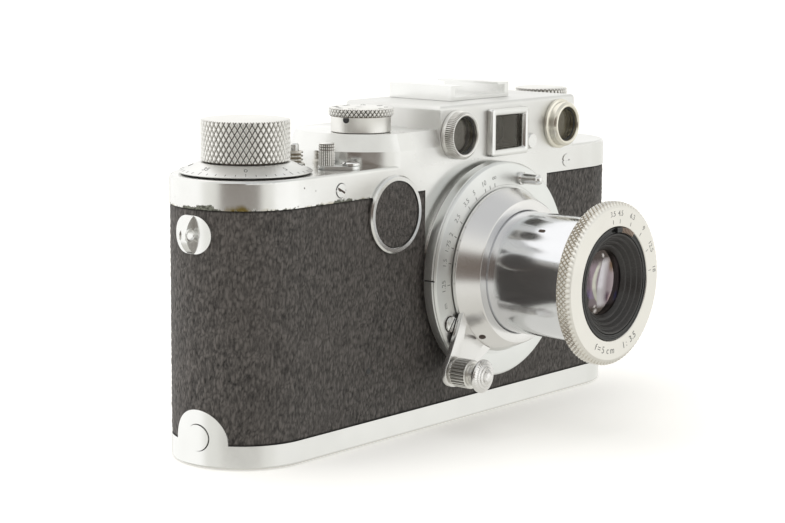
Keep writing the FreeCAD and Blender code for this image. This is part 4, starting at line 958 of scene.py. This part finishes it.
def slotted_head(name, radius, low, high, slot, body, place, finish, stands_for=(), turn=25.0):
    """A screw head with a cut slot: a disc with two raised half discs on it."""
    floor = low + (high - low) * 0.45
    base_points, base_faces = revolve(eased([(0.0, low), (radius, low), (radius, floor),
                                             (0.0, floor)], 0.03), 48)
    # the black lower disc shows at the floor of the slot: painted shade
    things = [piece(name + "_base", base_points, base_faces, body, place, BLACK)]
    for side in (0, 180):
        start = math.asin(slot / radius)
        outline = []
        for step in range(25):
            angle = start + (math.pi - 2 * start) * step / 24 + math.radians(side + turn)
            outline.append((radius * math.cos(angle), radius * math.sin(angle)))
        things.append(slab(name + "_half", outline, floor, high, body, place, finish, 0.08))
    if stands_for:
        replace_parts(things[0], *stands_for)
    return join(name, things)


# ---------------------------------------------------------------- windows
def make_bezels():
    for word, node, opening, around, rim_drop, finish in (
            ("left", "left_rangefinder_bezel", 4.2, 72, 0.1, KNURL_CHROME),
            ("right", "right_rangefinder_bezel", 3.9, 0, 0.65, WARM_CHROME)):
        low, high = span(node)
        centre = (low + high) / 2
        radius = (high.x - low.x) / 2
        back, front = -high.y, -low.y
        rim = radius - rim_drop
        profile = [(opening, back), (radius, back), (radius, back + 0.7), (rim, back + 0.9),
                   (rim, front - 0.55), (rim - 0.55, front - 0.05), (opening + 0.35, front),
                   (opening + 0.05, front - 0.25), (opening, front - 0.6)]
        profile = eased(profile, 0.12)
        serrated_from = back + 0.95
        serrated_to = front - 0.02

        def sunk_at(reach, height, angle):
            on_bevel = serrated_from < height < serrated_to and reach > opening + 0.5
            return straight(angle, around) if around and on_bevel else 0.0

        turned(word + "_bezel_turned", profile, around * 6 if around else 160, 0.3, sunk_at, "body",
               looking(FORWARD, centre.x, 0, centre.z), finish, (node,), 32)


def make_view_frame():
    """Rectangular finder frame with a sunk, bevelled opening."""
    low, high = span("viewfinder_frame")
    centre = (low + high) / 2
    half_wide = (high.x - low.x) / 2
    half_tall = (high.z - low.z) / 2
    front, back = -low.y, -high.y
    open_wide, open_tall = 5.25, 3.65
    rows = [(half_wide, half_tall, back, 0.6), (half_wide, half_tall, front - 0.45, 0.6),
            (half_wide - 0.15, half_tall - 0.15, front - 0.12, 0.6),
            (half_wide - 0.45, half_tall - 0.45, front, 0.6),
            (open_wide + 0.65, open_tall + 0.65, front, 0.35),
            (open_wide + 0.4, open_tall + 0.4, front - 0.1, 0.3),
            (open_wide, open_tall, front - 0.75, 0.2), (open_wide, open_tall, back, 0.2)]
    points = []
    per_corner = 6
    for wide, tall, depth, bend in rows:
        for corner, (sx, sy) in enumerate(((1, 1), (-1, 1), (-1, -1), (1, -1))):
            for step in range(per_corner + 1):
                angle = math.radians(corner * 90 + 90 * step / per_corner)
                points.append((sx * (wide - bend) + bend * math.cos(angle),
                               sy * (tall - bend) + bend * math.sin(angle), depth))
    count = 4 * (per_corner + 1)
    faces = []
    for row in range(len(rows)):
        following = (row + 1) % len(rows)
        for step in range(count):
            beside = (step + 1) % count
            faces.append((row * count + step, row * count + beside,
                          following * count + beside, following * count + step))
    piece("finder_frame", points, faces, "body", looking(FORWARD, centre.x, 0, centre.z), CHROME,
          sharp=40, stands_for=("viewfinder_frame",))


def make_finder_insides():
    """Dark tunnels behind the windows, with retaining rings and dim optics in them."""
    glass_front = -span("window_glasses")[0].y
    for word, radius, finish in (("left", 4.15, DIM_OPTIC), ("right", 3.85, YELLOW_OPTIC)):
        centre = middle(word + "_rangefinder_bezel")
        place = looking(FORWARD, centre.x, 0, centre.z)
        tube = [(4.25, 13.0), (4.4, 13.0), (4.4, 7.0), (0.0, 7.0), (0.0, 7.2), (4.1, 7.2)]
        lathe(word + "_finder_tube", tube, "body", place, CELL_BLACK, 0.05, 48)
        optic = [(0.0, glass_front - 1.4), (radius, glass_front - 1.4),
                 (radius, glass_front - 1.0), (1.6, glass_front - 0.86), (0.0, glass_front - 0.84)]
        lathe(word + "_finder_optic", optic, "body", place, finish, 0.05, 96)
        ring = [(radius - 0.22, glass_front + 0.02), (radius, glass_front + 0.02),
                (radius, glass_front + 0.3), (radius - 0.22, glass_front + 0.22)]
        lathe(word + "_retaining_ring", ring, "body", place, BLACK, 0.03, 96)
    finder = middle("viewfinder_frame")
    place = looking(FORWARD, finder.x, 0, finder.z)
    wide, tall = 5.1, 3.5
    outer = [(-wide, -tall), (wide, -tall), (wide, tall), (-wide, tall)]
    points = []
    for depth, scale in ((14.6, 1.0), (3.0, 0.72), (3.0, 0.0)):
        points += [(x * scale, y * scale, depth) for x, y in outer]
    faces = [(row * 4 + step, row * 4 + (step + 1) % 4, row * 4 + 4 + (step + 1) % 4,
              row * 4 + 4 + step) for row in range(2) for step in range(4)]
    piece("view_tunnel", points, faces, "body", place, DIM_OPTIC)
    # black hoops for the rims of a concave lens held in the tunnel, and a pale plate painted as the
    # daylight from the eyepiece behind it
    things = []
    for index, (radius, depth) in enumerate(((2.1, 9.0), (2.9, 10.4), (3.5, 11.6))):
        hoop = [(radius, depth), (radius + 0.42, depth), (radius + 0.42, depth + 0.3),
                (radius, depth + 0.3)]
        shift = place @ Matrix.Translation(Vector((0.3, 0.0, 0.0)) * MM)
        things.append(lathe("finder_hoop_%d" % index, hoop, "body", shift, BLACK, 0.04, 72))
    pane = slab("painted_eyepiece_light", capsule((-2.4, 0.3), (-1.2, 0.3), 0.5, 0.5, 8), 12.8, 13.0,
                "body", place, DAYLIGHT_PATCH, 0.05)
    join("finder_optics", things + [pane])


# ---------------------------------------------------------------- lens
def make_flange():
    radius = FLANGE_RADIUS
    face = FLANGE_FACE
    back = 16.65
    bore = 18.15
    profile = [(bore, 12.5), (19.35, 12.5), (19.35, back), (radius - 0.15, back),
               (radius, back + 0.15), (radius, face - 1.05), (radius - 0.25, face - 0.9),
               (radius - 0.25, face - 0.75), (radius, face - 0.6), (radius, face - 0.45),
               (radius - 0.4, face), (19.3, face), (19.2, face - 0.06), (bore, face - 0.06)]
    lathe("flange_turned", profile, "body", on_lens(), SCALE_CHROME, 0.08, 288, ("lens_flange",))
    marks = []
    infinity_angle = 99.8
    sweep = 105.0           # degrees of scale at one metre
    for label in ("1.25", "1.5", "1.75", "2", "2.5", "3.5", "5", "10", "20", "∞"):
        distance = 1e6 if label == "∞" else float(label)
        angle = infinity_angle + sweep / distance
        marks.append((tick(0.17, 0.9), round_the_axis(angle, 19.7, face + 0.004)))
        if label in ("20",):
            continue
        marks.append((glyph(label, 1.25, 0.02), round_the_axis(angle, 21.4, face + 0.004)))
    marks.append((glyph("m", 1.3, 0.02), round_the_axis(196.0, 21.5, face + 0.004)))
    engraving("distance_figures", marks, "body", on_lens(), INK)
    side_tick = [(tick(0.3, face - back - 0.5), round_the_axis(180, radius, (back + face) / 2)
                  @ Matrix.Rotation(math.radians(90), 4, "X"))]
    engraving("flange_index", side_tick, "body", on_lens(), BLACK)


def make_collar():
    low, high = span("focusing_collar")
    radius = (high.x - low.x) / 2
    back, front = FLANGE_FACE + 0.1, -low.y
    bore = 13.87
    nose = radius - 2.15
    profile = [(15.2, -high.y), (17.25, -high.y), (17.25, back), (radius - 0.1, back),
               (radius, back + 0.1), (radius, back + 0.9), (radius - 0.12, back + 1.1),
               (nose, front - 0.4), (nose - 0.3, front), (bore + 0.2, front),
               (bore + 0.12, front - 0.2), (bore, front - 0.25), (bore, FLANGE_FACE + 0.5),
               (15.2, FLANGE_FACE + 0.5)]
    lathe("collar_turned", profile, "collar", on_lens(), RING_CHROME, 0.1, 240,
          ("focusing_collar",))
    # a dark disc painted on as the shade in the peg hole
    dimple = revolve([(0.0, -0.3), (0.78, -0.3), (0.78, 0.0), (0.7, 0.03), (0.0, 0.03)], 32)
    slope = math.degrees(math.atan2(2.15, front - 0.4 - back - 1.1))
    spot = (round_the_axis(231, radius - 0.88, FLANGE_FACE + 3.0)
            @ Matrix.Rotation(math.radians(slope - 90), 4, "X"))
    engraving("collar_peg_hole_shade", [(dimple, spot)], "collar", on_lens(), SLOT_SHADE)


def make_tube():
    low, high = span("lens_tube")
    radius = (high.x - low.x) / 2
    back, front = -high.y, -low.y
    profile = [(12.9, back), (radius - 0.05, back), (radius, back + 0.1), (radius, front - 0.1),
               (radius, front), (12.9, front)]
    lathe("tube_polished", profile, "barrel", on_lens(), POLISHED, 0.04, 256, ("lens_tube",))
    # a flat dark capsule painted on as the shade in the tube's slot
    slot = capsule((-0.45, 0), (0.45, 0), 0.42, 0.42, 10)
    points = [(x, y, -0.05) for x, y in slot] + [(x * 0.9, y * 0.9, 0.012) for x, y in slot]
    count = len(slot)
    faces = [(step, (step + 1) % count, count + (step + 1) % count, count + step)
             for step in range(count)]
    faces += [tuple(range(count)), tuple(count + step for step in range(count))]
    spot = (round_the_axis(126, radius, 36.6) @ Matrix.Rotation(math.radians(90), 4, "X")
            @ Matrix.Rotation(math.radians(90), 4, "Z"))
    engraving("tube_slot_shade", [((points, faces), spot)], "barrel", on_lens(), SLOT_SHADE)


def make_front_ring():
    low, high = span("front_ring")
    radius = (high.x - low.x) / 2
    back, front = -high.y, -low.y
    bore = 12.55
    face_edge = radius - 1.3
    below = [(bore, back), (radius - 0.75, back), (radius - 0.42, back + 0.1)]
    above = [(face_edge, front), (face_edge - 0.2, front), (bore + 0.15, front),
             (bore, front - 0.15)]
    knurled("front_ring_knurled", below, above, radius, back + 0.2, front - 0.8, 94, 1.25, 0.36,
            "barrel", on_lens(), FINE_KNURL, ("front_ring",), per_cell=6, edge=0.26,
            top_radius=face_edge)
    marks = []
    top = front + 0.004
    for word, angle in (("3.5", 95.0), ("4.5", 84.0), ("6.3", 66.0), ("9", 46.0), ("12.5", 26.0),
                        ("18", 6.0)):
        marks.append((glyph(word, 1.2, 0.012), round_the_axis(angle, 15.45, top)))
        marks.append((tick(0.12, 0.9), round_the_axis(angle, 13.7, top)))
    for word, angle in (("f", 242.0), ("=", 247.5), ("5", 254.0), ("c", 261.0), ("m", 268.0),
                        ("1", 285.5), (":", 290.0), ("3.5", 300.0)):
        marks.append((glyph(word, 1.6, 0.012), round_the_axis(angle, 14.7, top, inward=True)))
    engraving("front_ring_figures", marks, "barrel", on_lens(), INK)


def make_aperture_ring():
    low, high = span("aperture_ring")
    front = -low.y - 0.6
    back = -high.y
    profile = [(11.2, back), (12.45, back), (12.45, front - 0.12), (12.35, front + 0.02),
               (12.1, front + 0.02), (12.0, front - 0.16), (11.7, front - 0.16),
               (11.55, front), (11.3, front), (11.2, front - 0.15)]
    ring = lathe("aperture_ring_turned", profile, "aperture", on_lens(), GLOSS_BLACK, 0.05, 200,
                 ("aperture_ring",))
    tab_front = -low.y
    first, last = 60.0, 83.0

    def tab(name, start, end, teeth, finish, top):
        points = []
        sunk = []
        faces = []
        steps = max(6, teeth * 4)
        inner, outer = 11.3, 12.4
        ring_profile = [(inner, front - 0.3), (outer, front - 0.3), (outer, top - 0.12),
                        (outer - 0.12, top), (inner + 0.12, top), (inner, top - 0.12)]
        for step in range(steps + 1):
            angle = math.radians(start + (end - start) * step / steps)
            bite = 0.2 if teeth and step % 4 in (0, 3) else 0.0
            for index, (reach, height) in enumerate(ring_profile):
                lift = height - bite if index >= 2 else height
                points.append((reach * math.cos(angle), reach * math.sin(angle), lift))
                sunk.append(bite / 0.2)
        count = len(ring_profile)
        for step in range(steps):
            for index in range(count):
                beside = (index + 1) % count
                faces.append((step * count + index, step * count + beside,
                              (step + 1) * count + beside, (step + 1) * count + index))
        faces.append(tuple(range(count)))
        faces.append(tuple(steps * count + index for index in range(count)))
        return piece(name, points, faces, "aperture", on_lens(), finish, sharp=25, sunk=sunk)

    join("aperture_ring_turned", [ring, tab("tab_grip", first, last, 8, TAB_METAL, tab_front),
                                  tab("tab_foot", last, last + 9, 0, GLOSS_BLACK,
                                      tab_front + 0.05)])


def make_cell():
    low, high = span("lens_cell")
    front = -low.y
    profile = [(7.0, 30), (12.85, 30), (12.85, 47.1), (11.1, 47.1), (11.1, front - 0.05),
               (11.0, front), (10.75, front), (10.6, front - 0.15), (10.2, front - 0.85),
               (10.0, front - 0.9), (9.85, front - 0.75), (9.7, front - 0.85),
               (9.25, front - 1.7), (9.05, front - 1.75), (8.9, front - 1.6),
               (8.75, front - 1.7), (8.3, front - 2.55), (8.1, front - 2.6), (7.95, front - 2.45),
               (7.8, front - 2.55), (7.25, front - 3.3), (7.25, 44.4), (6.5, 44.4), (6.5, 41),
               (7.0, 41), (7.0, 39.6), (9.5, 39.6), (9.5, 36.6), (7.0, 36.6)]
    lathe("cell_stepped", profile, "barrel", on_lens(), CELL_BLACK, 0.05, 200, ("lens_cell",))


def dome(name, node, radius, bulge_front, bulge_back, body, finish):
    """A lens with two curved faces inside its CAD node's depth."""
    low, high = span(node)
    front, back = -low.y, -high.y
    rings = 14
    profile = []
    for index in range(rings + 1):
        reach = radius * index / rings
        profile.append((reach, front - bulge_front * (reach / radius)**2))
    for index in range(rings, -1, -1):
        reach = radius * index / rings
        profile.append((reach, back + bulge_back * (reach / radius)**2))
    points, faces = revolve(profile, 96)
    piece(name, points, faces, body, on_lens(), finish, sharp=50, stands_for=(node,))


def make_glass():
    dome("front_glass", "front_lens", 7.15, 1.2, 0.25, "barrel", FRONT_GLASS)
    dome("middle_glass", "middle_lens", 6.35, 0.3, -0.2, "barrel", LENS_GLASS)
    dome("rear_glass", "rear_lens", 6.85, 0.9, 0.5, "barrel", LENS_GLASS)


def make_lever():
    """Focusing lever: tapered arm, fluted knob and stepped lock button."""
    low, high = span("infinity_lock_button")
    centre = (low + high) / 2
    collar_low, collar_high = span("focusing_collar")
    reach = Vector((centre.x - LENS_X, centre.z - LENS_Z))
    heading = math.degrees(math.atan2(reach.y, reach.x))
    arm_low, arm_high = FLANGE_FACE + 0.76, FLANGE_FACE + 1.94
    out = reach.normalized()
    side = Vector((-out.y, out.x))
    root_radius, root_half, tip_half = 18.3, 6.9, 3.48
    start = math.asin(root_half / root_radius)
    outline = []
    for step in range(25):
        angle = math.radians(heading) + start - 2 * start * step / 24
        outline.append((root_radius * math.cos(angle), root_radius * math.sin(angle)))
    for step in range(25):
        turn = -math.pi / 2 + math.pi * step / 24
        across = side * (math.sin(turn) * tip_half) + out * (math.cos(turn) * tip_half)
        outline.append((reach.x + across.x, reach.y + across.y))
    arm = slab("lever_plate", outline, arm_low, arm_high, "collar", on_lens(), RING_CHROME, 0.18)
    knob_place = looking(FORWARD, centre.x, 0, centre.z)
    back = FLANGE_FACE
    flutes = 26

    def fluted(radius, height, angle):
        on_grip = back + 2.7 < height < back + 6.5 and radius > 3.0
        return straight(angle, flutes) if on_grip else 0.0

    profile = [(1.3, back + 1), (2.5, back + 1), (2.5, back + 2.4), (3.0, back + 2.45),
               (3.2, back + 2.65)]
    profile += [(3.2, height) for height in band_rows(back + 2.75, back + 6.45, 6)]
    profile += [(3.2, back + 6.6), (2.9, back + 6.8), (2.4, back + 6.85), (2.4, back + 7.2),
                (1.3, back + 7.2)]
    knob = turned("lever_knob", profile, flutes * 8, 0.34, fluted, "collar", knob_place,
                  KNURL_CHROME)
    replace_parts(arm, "focus_lever")
    join("focus_lever_finished", [arm, knob])
    front = -low.y
    rim = (high.x - low.x) / 2
    profile = [(0.0, back + 3.6), (1.25, back + 3.6), (1.25, front - 2.5), (rim - 0.5, front - 2.5),
               (rim, front - 2.2), (rim, front - 1.75), (rim - 0.35, front - 1.45),
               (rim - 0.9, front - 1.25), (rim - 0.95, front - 1.0), (rim - 1.35, front - 0.95),
               (rim - 1.6, front - 0.7), (rim - 2.0, front - 0.62), (rim - 2.3, front - 0.35),
               (1.0, front - 0.15), (0.0, front)]

    def ribbed(radius, height, angle):
        return straight(angle, 36) if height > front - 1.5 and radius > 0.8 else 0.0

    turned("lock_button_stepped", eased(profile, 0.08), 36 * 6, 0.08, ribbed, "lock_button",
           knob_place, RING_CHROME, ("infinity_lock_button",), 32)


def make_small_lens_parts():
    low, high = span("stop_stud")
    centre = (low + high) / 2
    back, front = -high.y, -low.y
    profile = [(0.0, back), (1.5, back), (1.5, back + 0.7), (1.2, back + 1.0), (1.2, front - 1.0),
               (1.05, front - 0.45), (0.6, front - 0.08), (0.0, front)]
    lathe("stop_stud_turned", profile, "body", looking(FORWARD, centre.x, 0, centre.z), CHROME,
          0.1, 48, ("stop_stud",))
    low, high = span("flange_screw")
    centre = (low + high) / 2
    place = looking(FORWARD, centre.x, 0, centre.z)
    radius = (high.x - low.x) / 2
    slotted_head("flange_screw_slotted", radius, -high.y, -low.y, 0.17, "body", place, CHROME,
                 ("flange_screw",), 52.0)
    # a thin dark ring painted round the head as its shadow in the seat
    shadow = revolve([(radius - 0.1, -high.y - 0.01), (radius + 0.12, -high.y - 0.01),
                      (radius + 0.12, -high.y + 0.02), (radius - 0.1, -high.y + 0.02)], 64)
    engraving("flange_screw_seat_shadow", [(shadow, Matrix.Identity(4))], "body", place, SLOT_SHADE)


# ---------------------------------------------------------------- lugs and screws
def make_lug_rims():
    """Raised, worn rims round the eyelets on both sides of each lug's fin."""
    low, high = span("strap_lugs")
    centre = (low + high) / 2
    eyelet = high.x - 1.2
    profile = [(0.9, 0.7), (1.5, 0.7), (1.5, 0.98), (1.32, 1.08), (1.05, 1.05), (0.9, 0.9)]
    for side in (-1, 1):
        things = []
        for direction in ((0, -1, 0), (0, 1, 0)):
            place = looking(direction, side * eyelet, centre.y, centre.z)
            things.append(lathe("rim", profile, "body", place, CHROME, 0.06, 64))
        join("lug_rims_left" if side < 0 else "lug_rims_right", things)


def make_screw_slots():
    """Painted shade in the slots and round the edges of the band's screws, and the dark heads in the
    covering.
    """
    heads = [(x, 56.1, side, lean) for x, lean in ((-39.5, -28.0), (41.7, 15.0))
             for side in (-1, 1)]
    for index, (x, z, side, lean) in enumerate(heads):
        place = looking((0, side, 0), x, 0, z)
        slot = Matrix.Translation(Vector((0, 0, COVER_RADIUS + 0.2))) @ Matrix.Rotation(
            math.radians(lean), 4, "Z")
        reach = 1.5 if x < 0 else 1.0
        line = 0.13 if x < 0 or side > 0 else 0.3
        outline = revolve([(reach, COVER_RADIUS - 0.05), (reach + line, COVER_RADIUS - 0.05),
                           (reach + line, COVER_RADIUS + 0.012), (reach, COVER_RADIUS + 0.012)], 64)
        engraving("band_screw_edge_shade_%d" % index, [(outline, Matrix.Identity(4))], "body", place,
                  SEAM_SHADE if x < 0 else SLOT_SHADE)
        if x < 0 or side > 0:
            engraving("band_screw_slot_shade_%d" % index, [(tick(2.5, 0.42), slot)], "body", place,
                      SLOT_SHADE)
    for index, x in enumerate((-30.2, 46.0)):
        for side in (-1, 1):
            head = [(0.0, LEATHER_RADIUS - 0.3), (0.68, LEATHER_RADIUS - 0.3),
                    (0.68, LEATHER_RADIUS - 0.02), (0.4, LEATHER_RADIUS + 0.03),
                    (0.0, LEATHER_RADIUS + 0.04)]
            lathe("covering_screw_%d_%s" % (index, "front" if side < 0 else "back"), head, "body",
                  looking((0, side, 0), x, 0, 16.2), BLACK, 0.05, 32)


# ---------------------------------------------------------------- carried-over CAD nodes
FINISHES = {
    "top_cover": COVER_CHROME, "base_plate": CHROME, "dial_plug": CHROME, "strap_lugs": CHROME,
    "base_hinge_stud": CHROME, "case_screws": CHROME, "accessory_shoe": CHROME,
    "eyepieces": BLACK, "dioptre_lever": CHROME, "base_lock_key": CHROME,
    "base_lock_flap": CHROME, "tripod_bush": STEEL, "reversing_lever_screw": CHROME,
    "lens_mount_ring": RING_CHROME, "window_glasses": WINDOW_GLASS, "body_shell": ALLOY,
    "mechanism_plate": ALLOY, "lower_bearing_plate": ALLOY, "film_gate": BLACK,
    "pressure_plate": STEEL, "shutter_curtains": CLOTH, "curtain_drum": BRASS,
    "spring_roller": BRASS, "idler_gear": BRASS, "sprocket": STEEL, "take_up_spool": BLACK,
    "cassette_spool": BLACK, "film_cassette": BRASS, "helicoid_ring": BRASS,
    "iris_blades": BLACK, "wind_shaft": STEEL, "rewind_shaft": STEEL,
    "speed_dial_spindle": STEEL, "rangefinder_lever": STEEL,
}
BEVELLED = {"base_plate": 0.12, "dial_plug": 0.1, "strap_lugs": 0.2, "base_hinge_stud": 0.12,
            "accessory_shoe": 0.15, "eyepieces": 0.12, "dioptre_lever": 0.12,
            "base_lock_key": 0.1, "base_lock_flap": 0.1, "case_screws": 0.06,
            "reversing_lever_screw": 0.08}


def finish_cad_nodes():
    for node, finish in FINISHES.items():
        thing = NODES[node]
        thing.data.materials.clear()
        thing.data.materials.append(finish)
    for node, wide in BEVELLED.items():
        bevel = NODES[node].modifiers.new("soft_edges", "BEVEL")
        bevel.width = wide * MM
        bevel.segments = 2
        bevel.limit_method = "ANGLE"
        bevel.angle_limit = math.radians(40)


# ---------------------------------------------------------------- floor, light, camera
def make_stage():
    mesh = bpy.data.meshes.new("floor")
    side = 3.0
    mesh.from_pydata([(-side, -side, 0), (side, -side, 0), (side, side, 0), (-side, side, 0)], [],
                     [(0, 1, 2, 3)])
    floor = bpy.data.objects.new("floor", mesh)
    bpy.context.scene.collection.objects.link(floor)
    floor.location.z = -0.0002
    material, tree, shader = new_material("paper_floor")
    graph = Graph(tree)
    paper = graph.noise(0.02, 2.0)
    graph.link(graph.mix(graph.spread(paper, 0.4, 0.6), colour(0.93, 0.915, 0.885),
                         colour(0.945, 0.93, 0.90)), shader.inputs["Base Color"])
    shader.inputs["Roughness"].default_value = 0.9
    # the paper is lifted towards white for the camera alone
    path = tree.nodes.new("ShaderNodeLightPath")
    lift = graph.math("MULTIPLY", path.outputs["Is Camera Ray"], 0.26)
    shader.inputs["Emission Color"].default_value = colour(1.0, 0.99, 0.96)
    graph.link(lift, shader.inputs["Emission Strength"])
    mesh.materials.append(material)
    floor.visible_glossy = False     # metal reflects the room's own floor colour


CAMERA_AZIMUTH = math.radians(-50.2)
CAMERA_ELEVATION = math.radians(8.99)
CAMERA_ROLL = math.radians(0.40)
CAMERA_SPOT = Vector((-0.3656, -0.3013, 0.1098))
FOCAL_MM = 96.04


def camera_axes():
    back = Vector((math.sin(CAMERA_AZIMUTH) * math.cos(CAMERA_ELEVATION),
                   -math.cos(CAMERA_AZIMUTH) * math.cos(CAMERA_ELEVATION),
                   math.sin(CAMERA_ELEVATION)))
    right = Vector((0, 0, 1)).cross(back).normalized()
    up = back.cross(right)
    rolled_right = right * math.cos(CAMERA_ROLL) + up * math.sin(CAMERA_ROLL)
    rolled_up = up * math.cos(CAMERA_ROLL) - right * math.sin(CAMERA_ROLL)
    return rolled_right, rolled_up, back


def make_camera():
    data = bpy.data.cameras.new("camera")
    data.lens = FOCAL_MM
    data.sensor_width = 36.0
    data.clip_start = 0.01
    camera = bpy.data.objects.new("camera", data)
    bpy.context.scene.collection.objects.link(camera)
    turn = Matrix(camera_axes()).transposed().to_4x4()
    camera.matrix_world = Matrix.Translation(CAMERA_SPOT) @ turn
    bpy.context.scene.camera = camera


def make_world():
    """A white tent with a dark opening behind the camera, and a plain pale backdrop."""
    world = bpy.data.worlds.new("studio")
    bpy.context.scene.world = world
    world.use_nodes = True
    tree = world.node_tree
    tree.nodes.clear()
    output = tree.nodes.new("ShaderNodeOutputWorld")
    coords = tree.nodes.new("ShaderNodeTexCoord")

    def lobe(direction, inner, outer):
        """1 within inner degrees of a direction, falling to 0 at outer degrees."""
        dot = tree.nodes.new("ShaderNodeVectorMath")
        dot.operation = "DOT_PRODUCT"
        dot.inputs[1].default_value = Vector(direction).normalized()
        tree.links.new(coords.outputs["Generated"], dot.inputs[0])
        ramp = tree.nodes.new("ShaderNodeMapRange")
        ramp.interpolation_type = "SMOOTHSTEP"
        ramp.inputs["From Min"].default_value = math.cos(math.radians(outer))
        ramp.inputs["From Max"].default_value = math.cos(math.radians(inner))
        tree.links.new(dot.outputs["Value"], ramp.inputs["Value"])
        return ramp.outputs[0]

    def blend(share, first, second):
        node = tree.nodes.new("ShaderNodeMix")
        node.data_type = "RGBA"
        tree.links.new(share, node.inputs["Factor"])
        if isinstance(first, tuple):
            node.inputs[6].default_value = first
        else:
            tree.links.new(first, node.inputs[6])
        node.inputs[7].default_value = second
        return node.outputs[2]

    def belt(centre, half_wide, low, high, soft):
        """1 inside a window of azimuth and elevation in degrees, with soft sides."""
        axes = tree.nodes.new("ShaderNodeSeparateXYZ")
        tree.links.new(coords.outputs["Generated"], axes.inputs[0])
        turned = tree.nodes.new("ShaderNodeMath")
        turned.operation = "ARCTAN2"
        heading = math.radians(centre)
        along = tree.nodes.new("ShaderNodeVectorMath")
        along.operation = "DOT_PRODUCT"
        along.inputs[1].default_value = (math.cos(heading), math.sin(heading), 0)
        aside = tree.nodes.new("ShaderNodeVectorMath")
        aside.operation = "DOT_PRODUCT"
        aside.inputs[1].default_value = (-math.sin(heading), math.cos(heading), 0)
        for node in (along, aside):
            tree.links.new(coords.outputs["Generated"], node.inputs[0])
        tree.links.new(aside.outputs["Value"], turned.inputs[0])
        tree.links.new(along.outputs["Value"], turned.inputs[1])
        size = tree.nodes.new("ShaderNodeMath")
        size.operation = "ABSOLUTE"
        tree.links.new(turned.outputs[0], size.inputs[0])
        limits = ((size.outputs[0], math.radians(half_wide + soft), math.radians(half_wide)),
                  (axes.outputs["Z"], math.sin(math.radians(low - soft * 0.4)),
                   math.sin(math.radians(low))),
                  (axes.outputs["Z"], math.sin(math.radians(high + soft)),
                   math.sin(math.radians(high))))
        result = None
        for value, outside, inside in limits:
            ramp = tree.nodes.new("ShaderNodeMapRange")
            ramp.interpolation_type = "SMOOTHSTEP"
            ramp.inputs["From Min"].default_value = outside
            ramp.inputs["From Max"].default_value = inside
            tree.links.new(value, ramp.inputs["Value"])
            if result is None:
                result = ramp.outputs[0]
                continue
            both = tree.nodes.new("ShaderNodeMath")
            both.operation = "MULTIPLY"
            tree.links.new(result, both.inputs[0])
            tree.links.new(ramp.outputs[0], both.inputs[1])
            result = both.outputs[0]
        return result

    # a white room: pale floor below, dimmer ceiling, one big soft window, a dark photographer
    tent = blend(lobe((0, 0, 1), 15, 65), colour(0.98, 0.98, 0.94), colour(0.66, 0.67, 0.68))
    tent = blend(lobe((0, 0, -1), 40, 88), tent, colour(0.74, 0.73, 0.68))
    tent = blend(lobe((0.0, 0.8, 0.62), 28, 56), tent, colour(1.22, 1.21, 1.19))
    tent = blend(belt(112, 38, -30, 25, 14), tent, colour(1.24, 1.24, 1.22))
    tent = blend(belt(42, 30, -2, 14, 10), tent, colour(1.15, 1.15, 1.13))
    tent = blend(belt(-64, 20, -11, 30, 10), tent, colour(1.24, 1.24, 1.22))
    tent = blend(belt(218, 26, -8.5, 20, 12), tent, colour(0.17, 0.14, 0.12))
    reflected = tree.nodes.new("ShaderNodeBackground")
    tree.links.new(tent, reflected.inputs["Color"])
    reflected.inputs["Strength"].default_value = 1.0
    seen = tree.nodes.new("ShaderNodeBackground")
    seen.inputs["Color"].default_value = colour(0.985, 0.985, 0.98)
    path = tree.nodes.new("ShaderNodeLightPath")
    chosen = tree.nodes.new("ShaderNodeMixShader")
    tree.links.new(path.outputs["Is Camera Ray"], chosen.inputs[0])
    tree.links.new(reflected.outputs[0], chosen.inputs[1])
    tree.links.new(seen.outputs[0], chosen.inputs[2])
    tree.links.new(chosen.outputs[0], output.inputs[0])


def make_light(name, spot, aim, wide, power):
    data = bpy.data.lights.new(name, "AREA")
    data.size = wide
    data.energy = power
    light = bpy.data.objects.new(name, data)
    bpy.context.scene.collection.objects.link(light)
    away = (Vector(spot) - Vector(aim)).normalized()
    light.matrix_world = looking(away, *(Vector(spot) / MM))
    light.visible_glossy = False


def main():
    make_covering()
    make_plug_insert()
    make_wind_knob()
    make_counter()
    make_speed_dial()
    make_rewind_knob()
    make_release()
    make_reversing_lever()
    make_bezels()
    make_view_frame()
    make_finder_insides()
    make_flange()
    make_collar()
    make_tube()
    make_front_ring()
    make_aperture_ring()
    make_cell()
    make_glass()
    make_lever()
    make_small_lens_parts()
    make_lug_rims()
    make_screw_slots()
    finish_cad_nodes()
    make_stage()
    make_world()
    make_light("top_softbox", (-0.1, 0.2, 0.9), (0.0, 0.0, 0.03), 0.8, 1.6)
    make_light("left_softbox", (-0.8, 0.35, 0.35), (0.0, 0.0, 0.03), 0.6, 1.4)
    make_camera()
    bpy.context.scene.view_settings.view_transform = "Standard"


main()
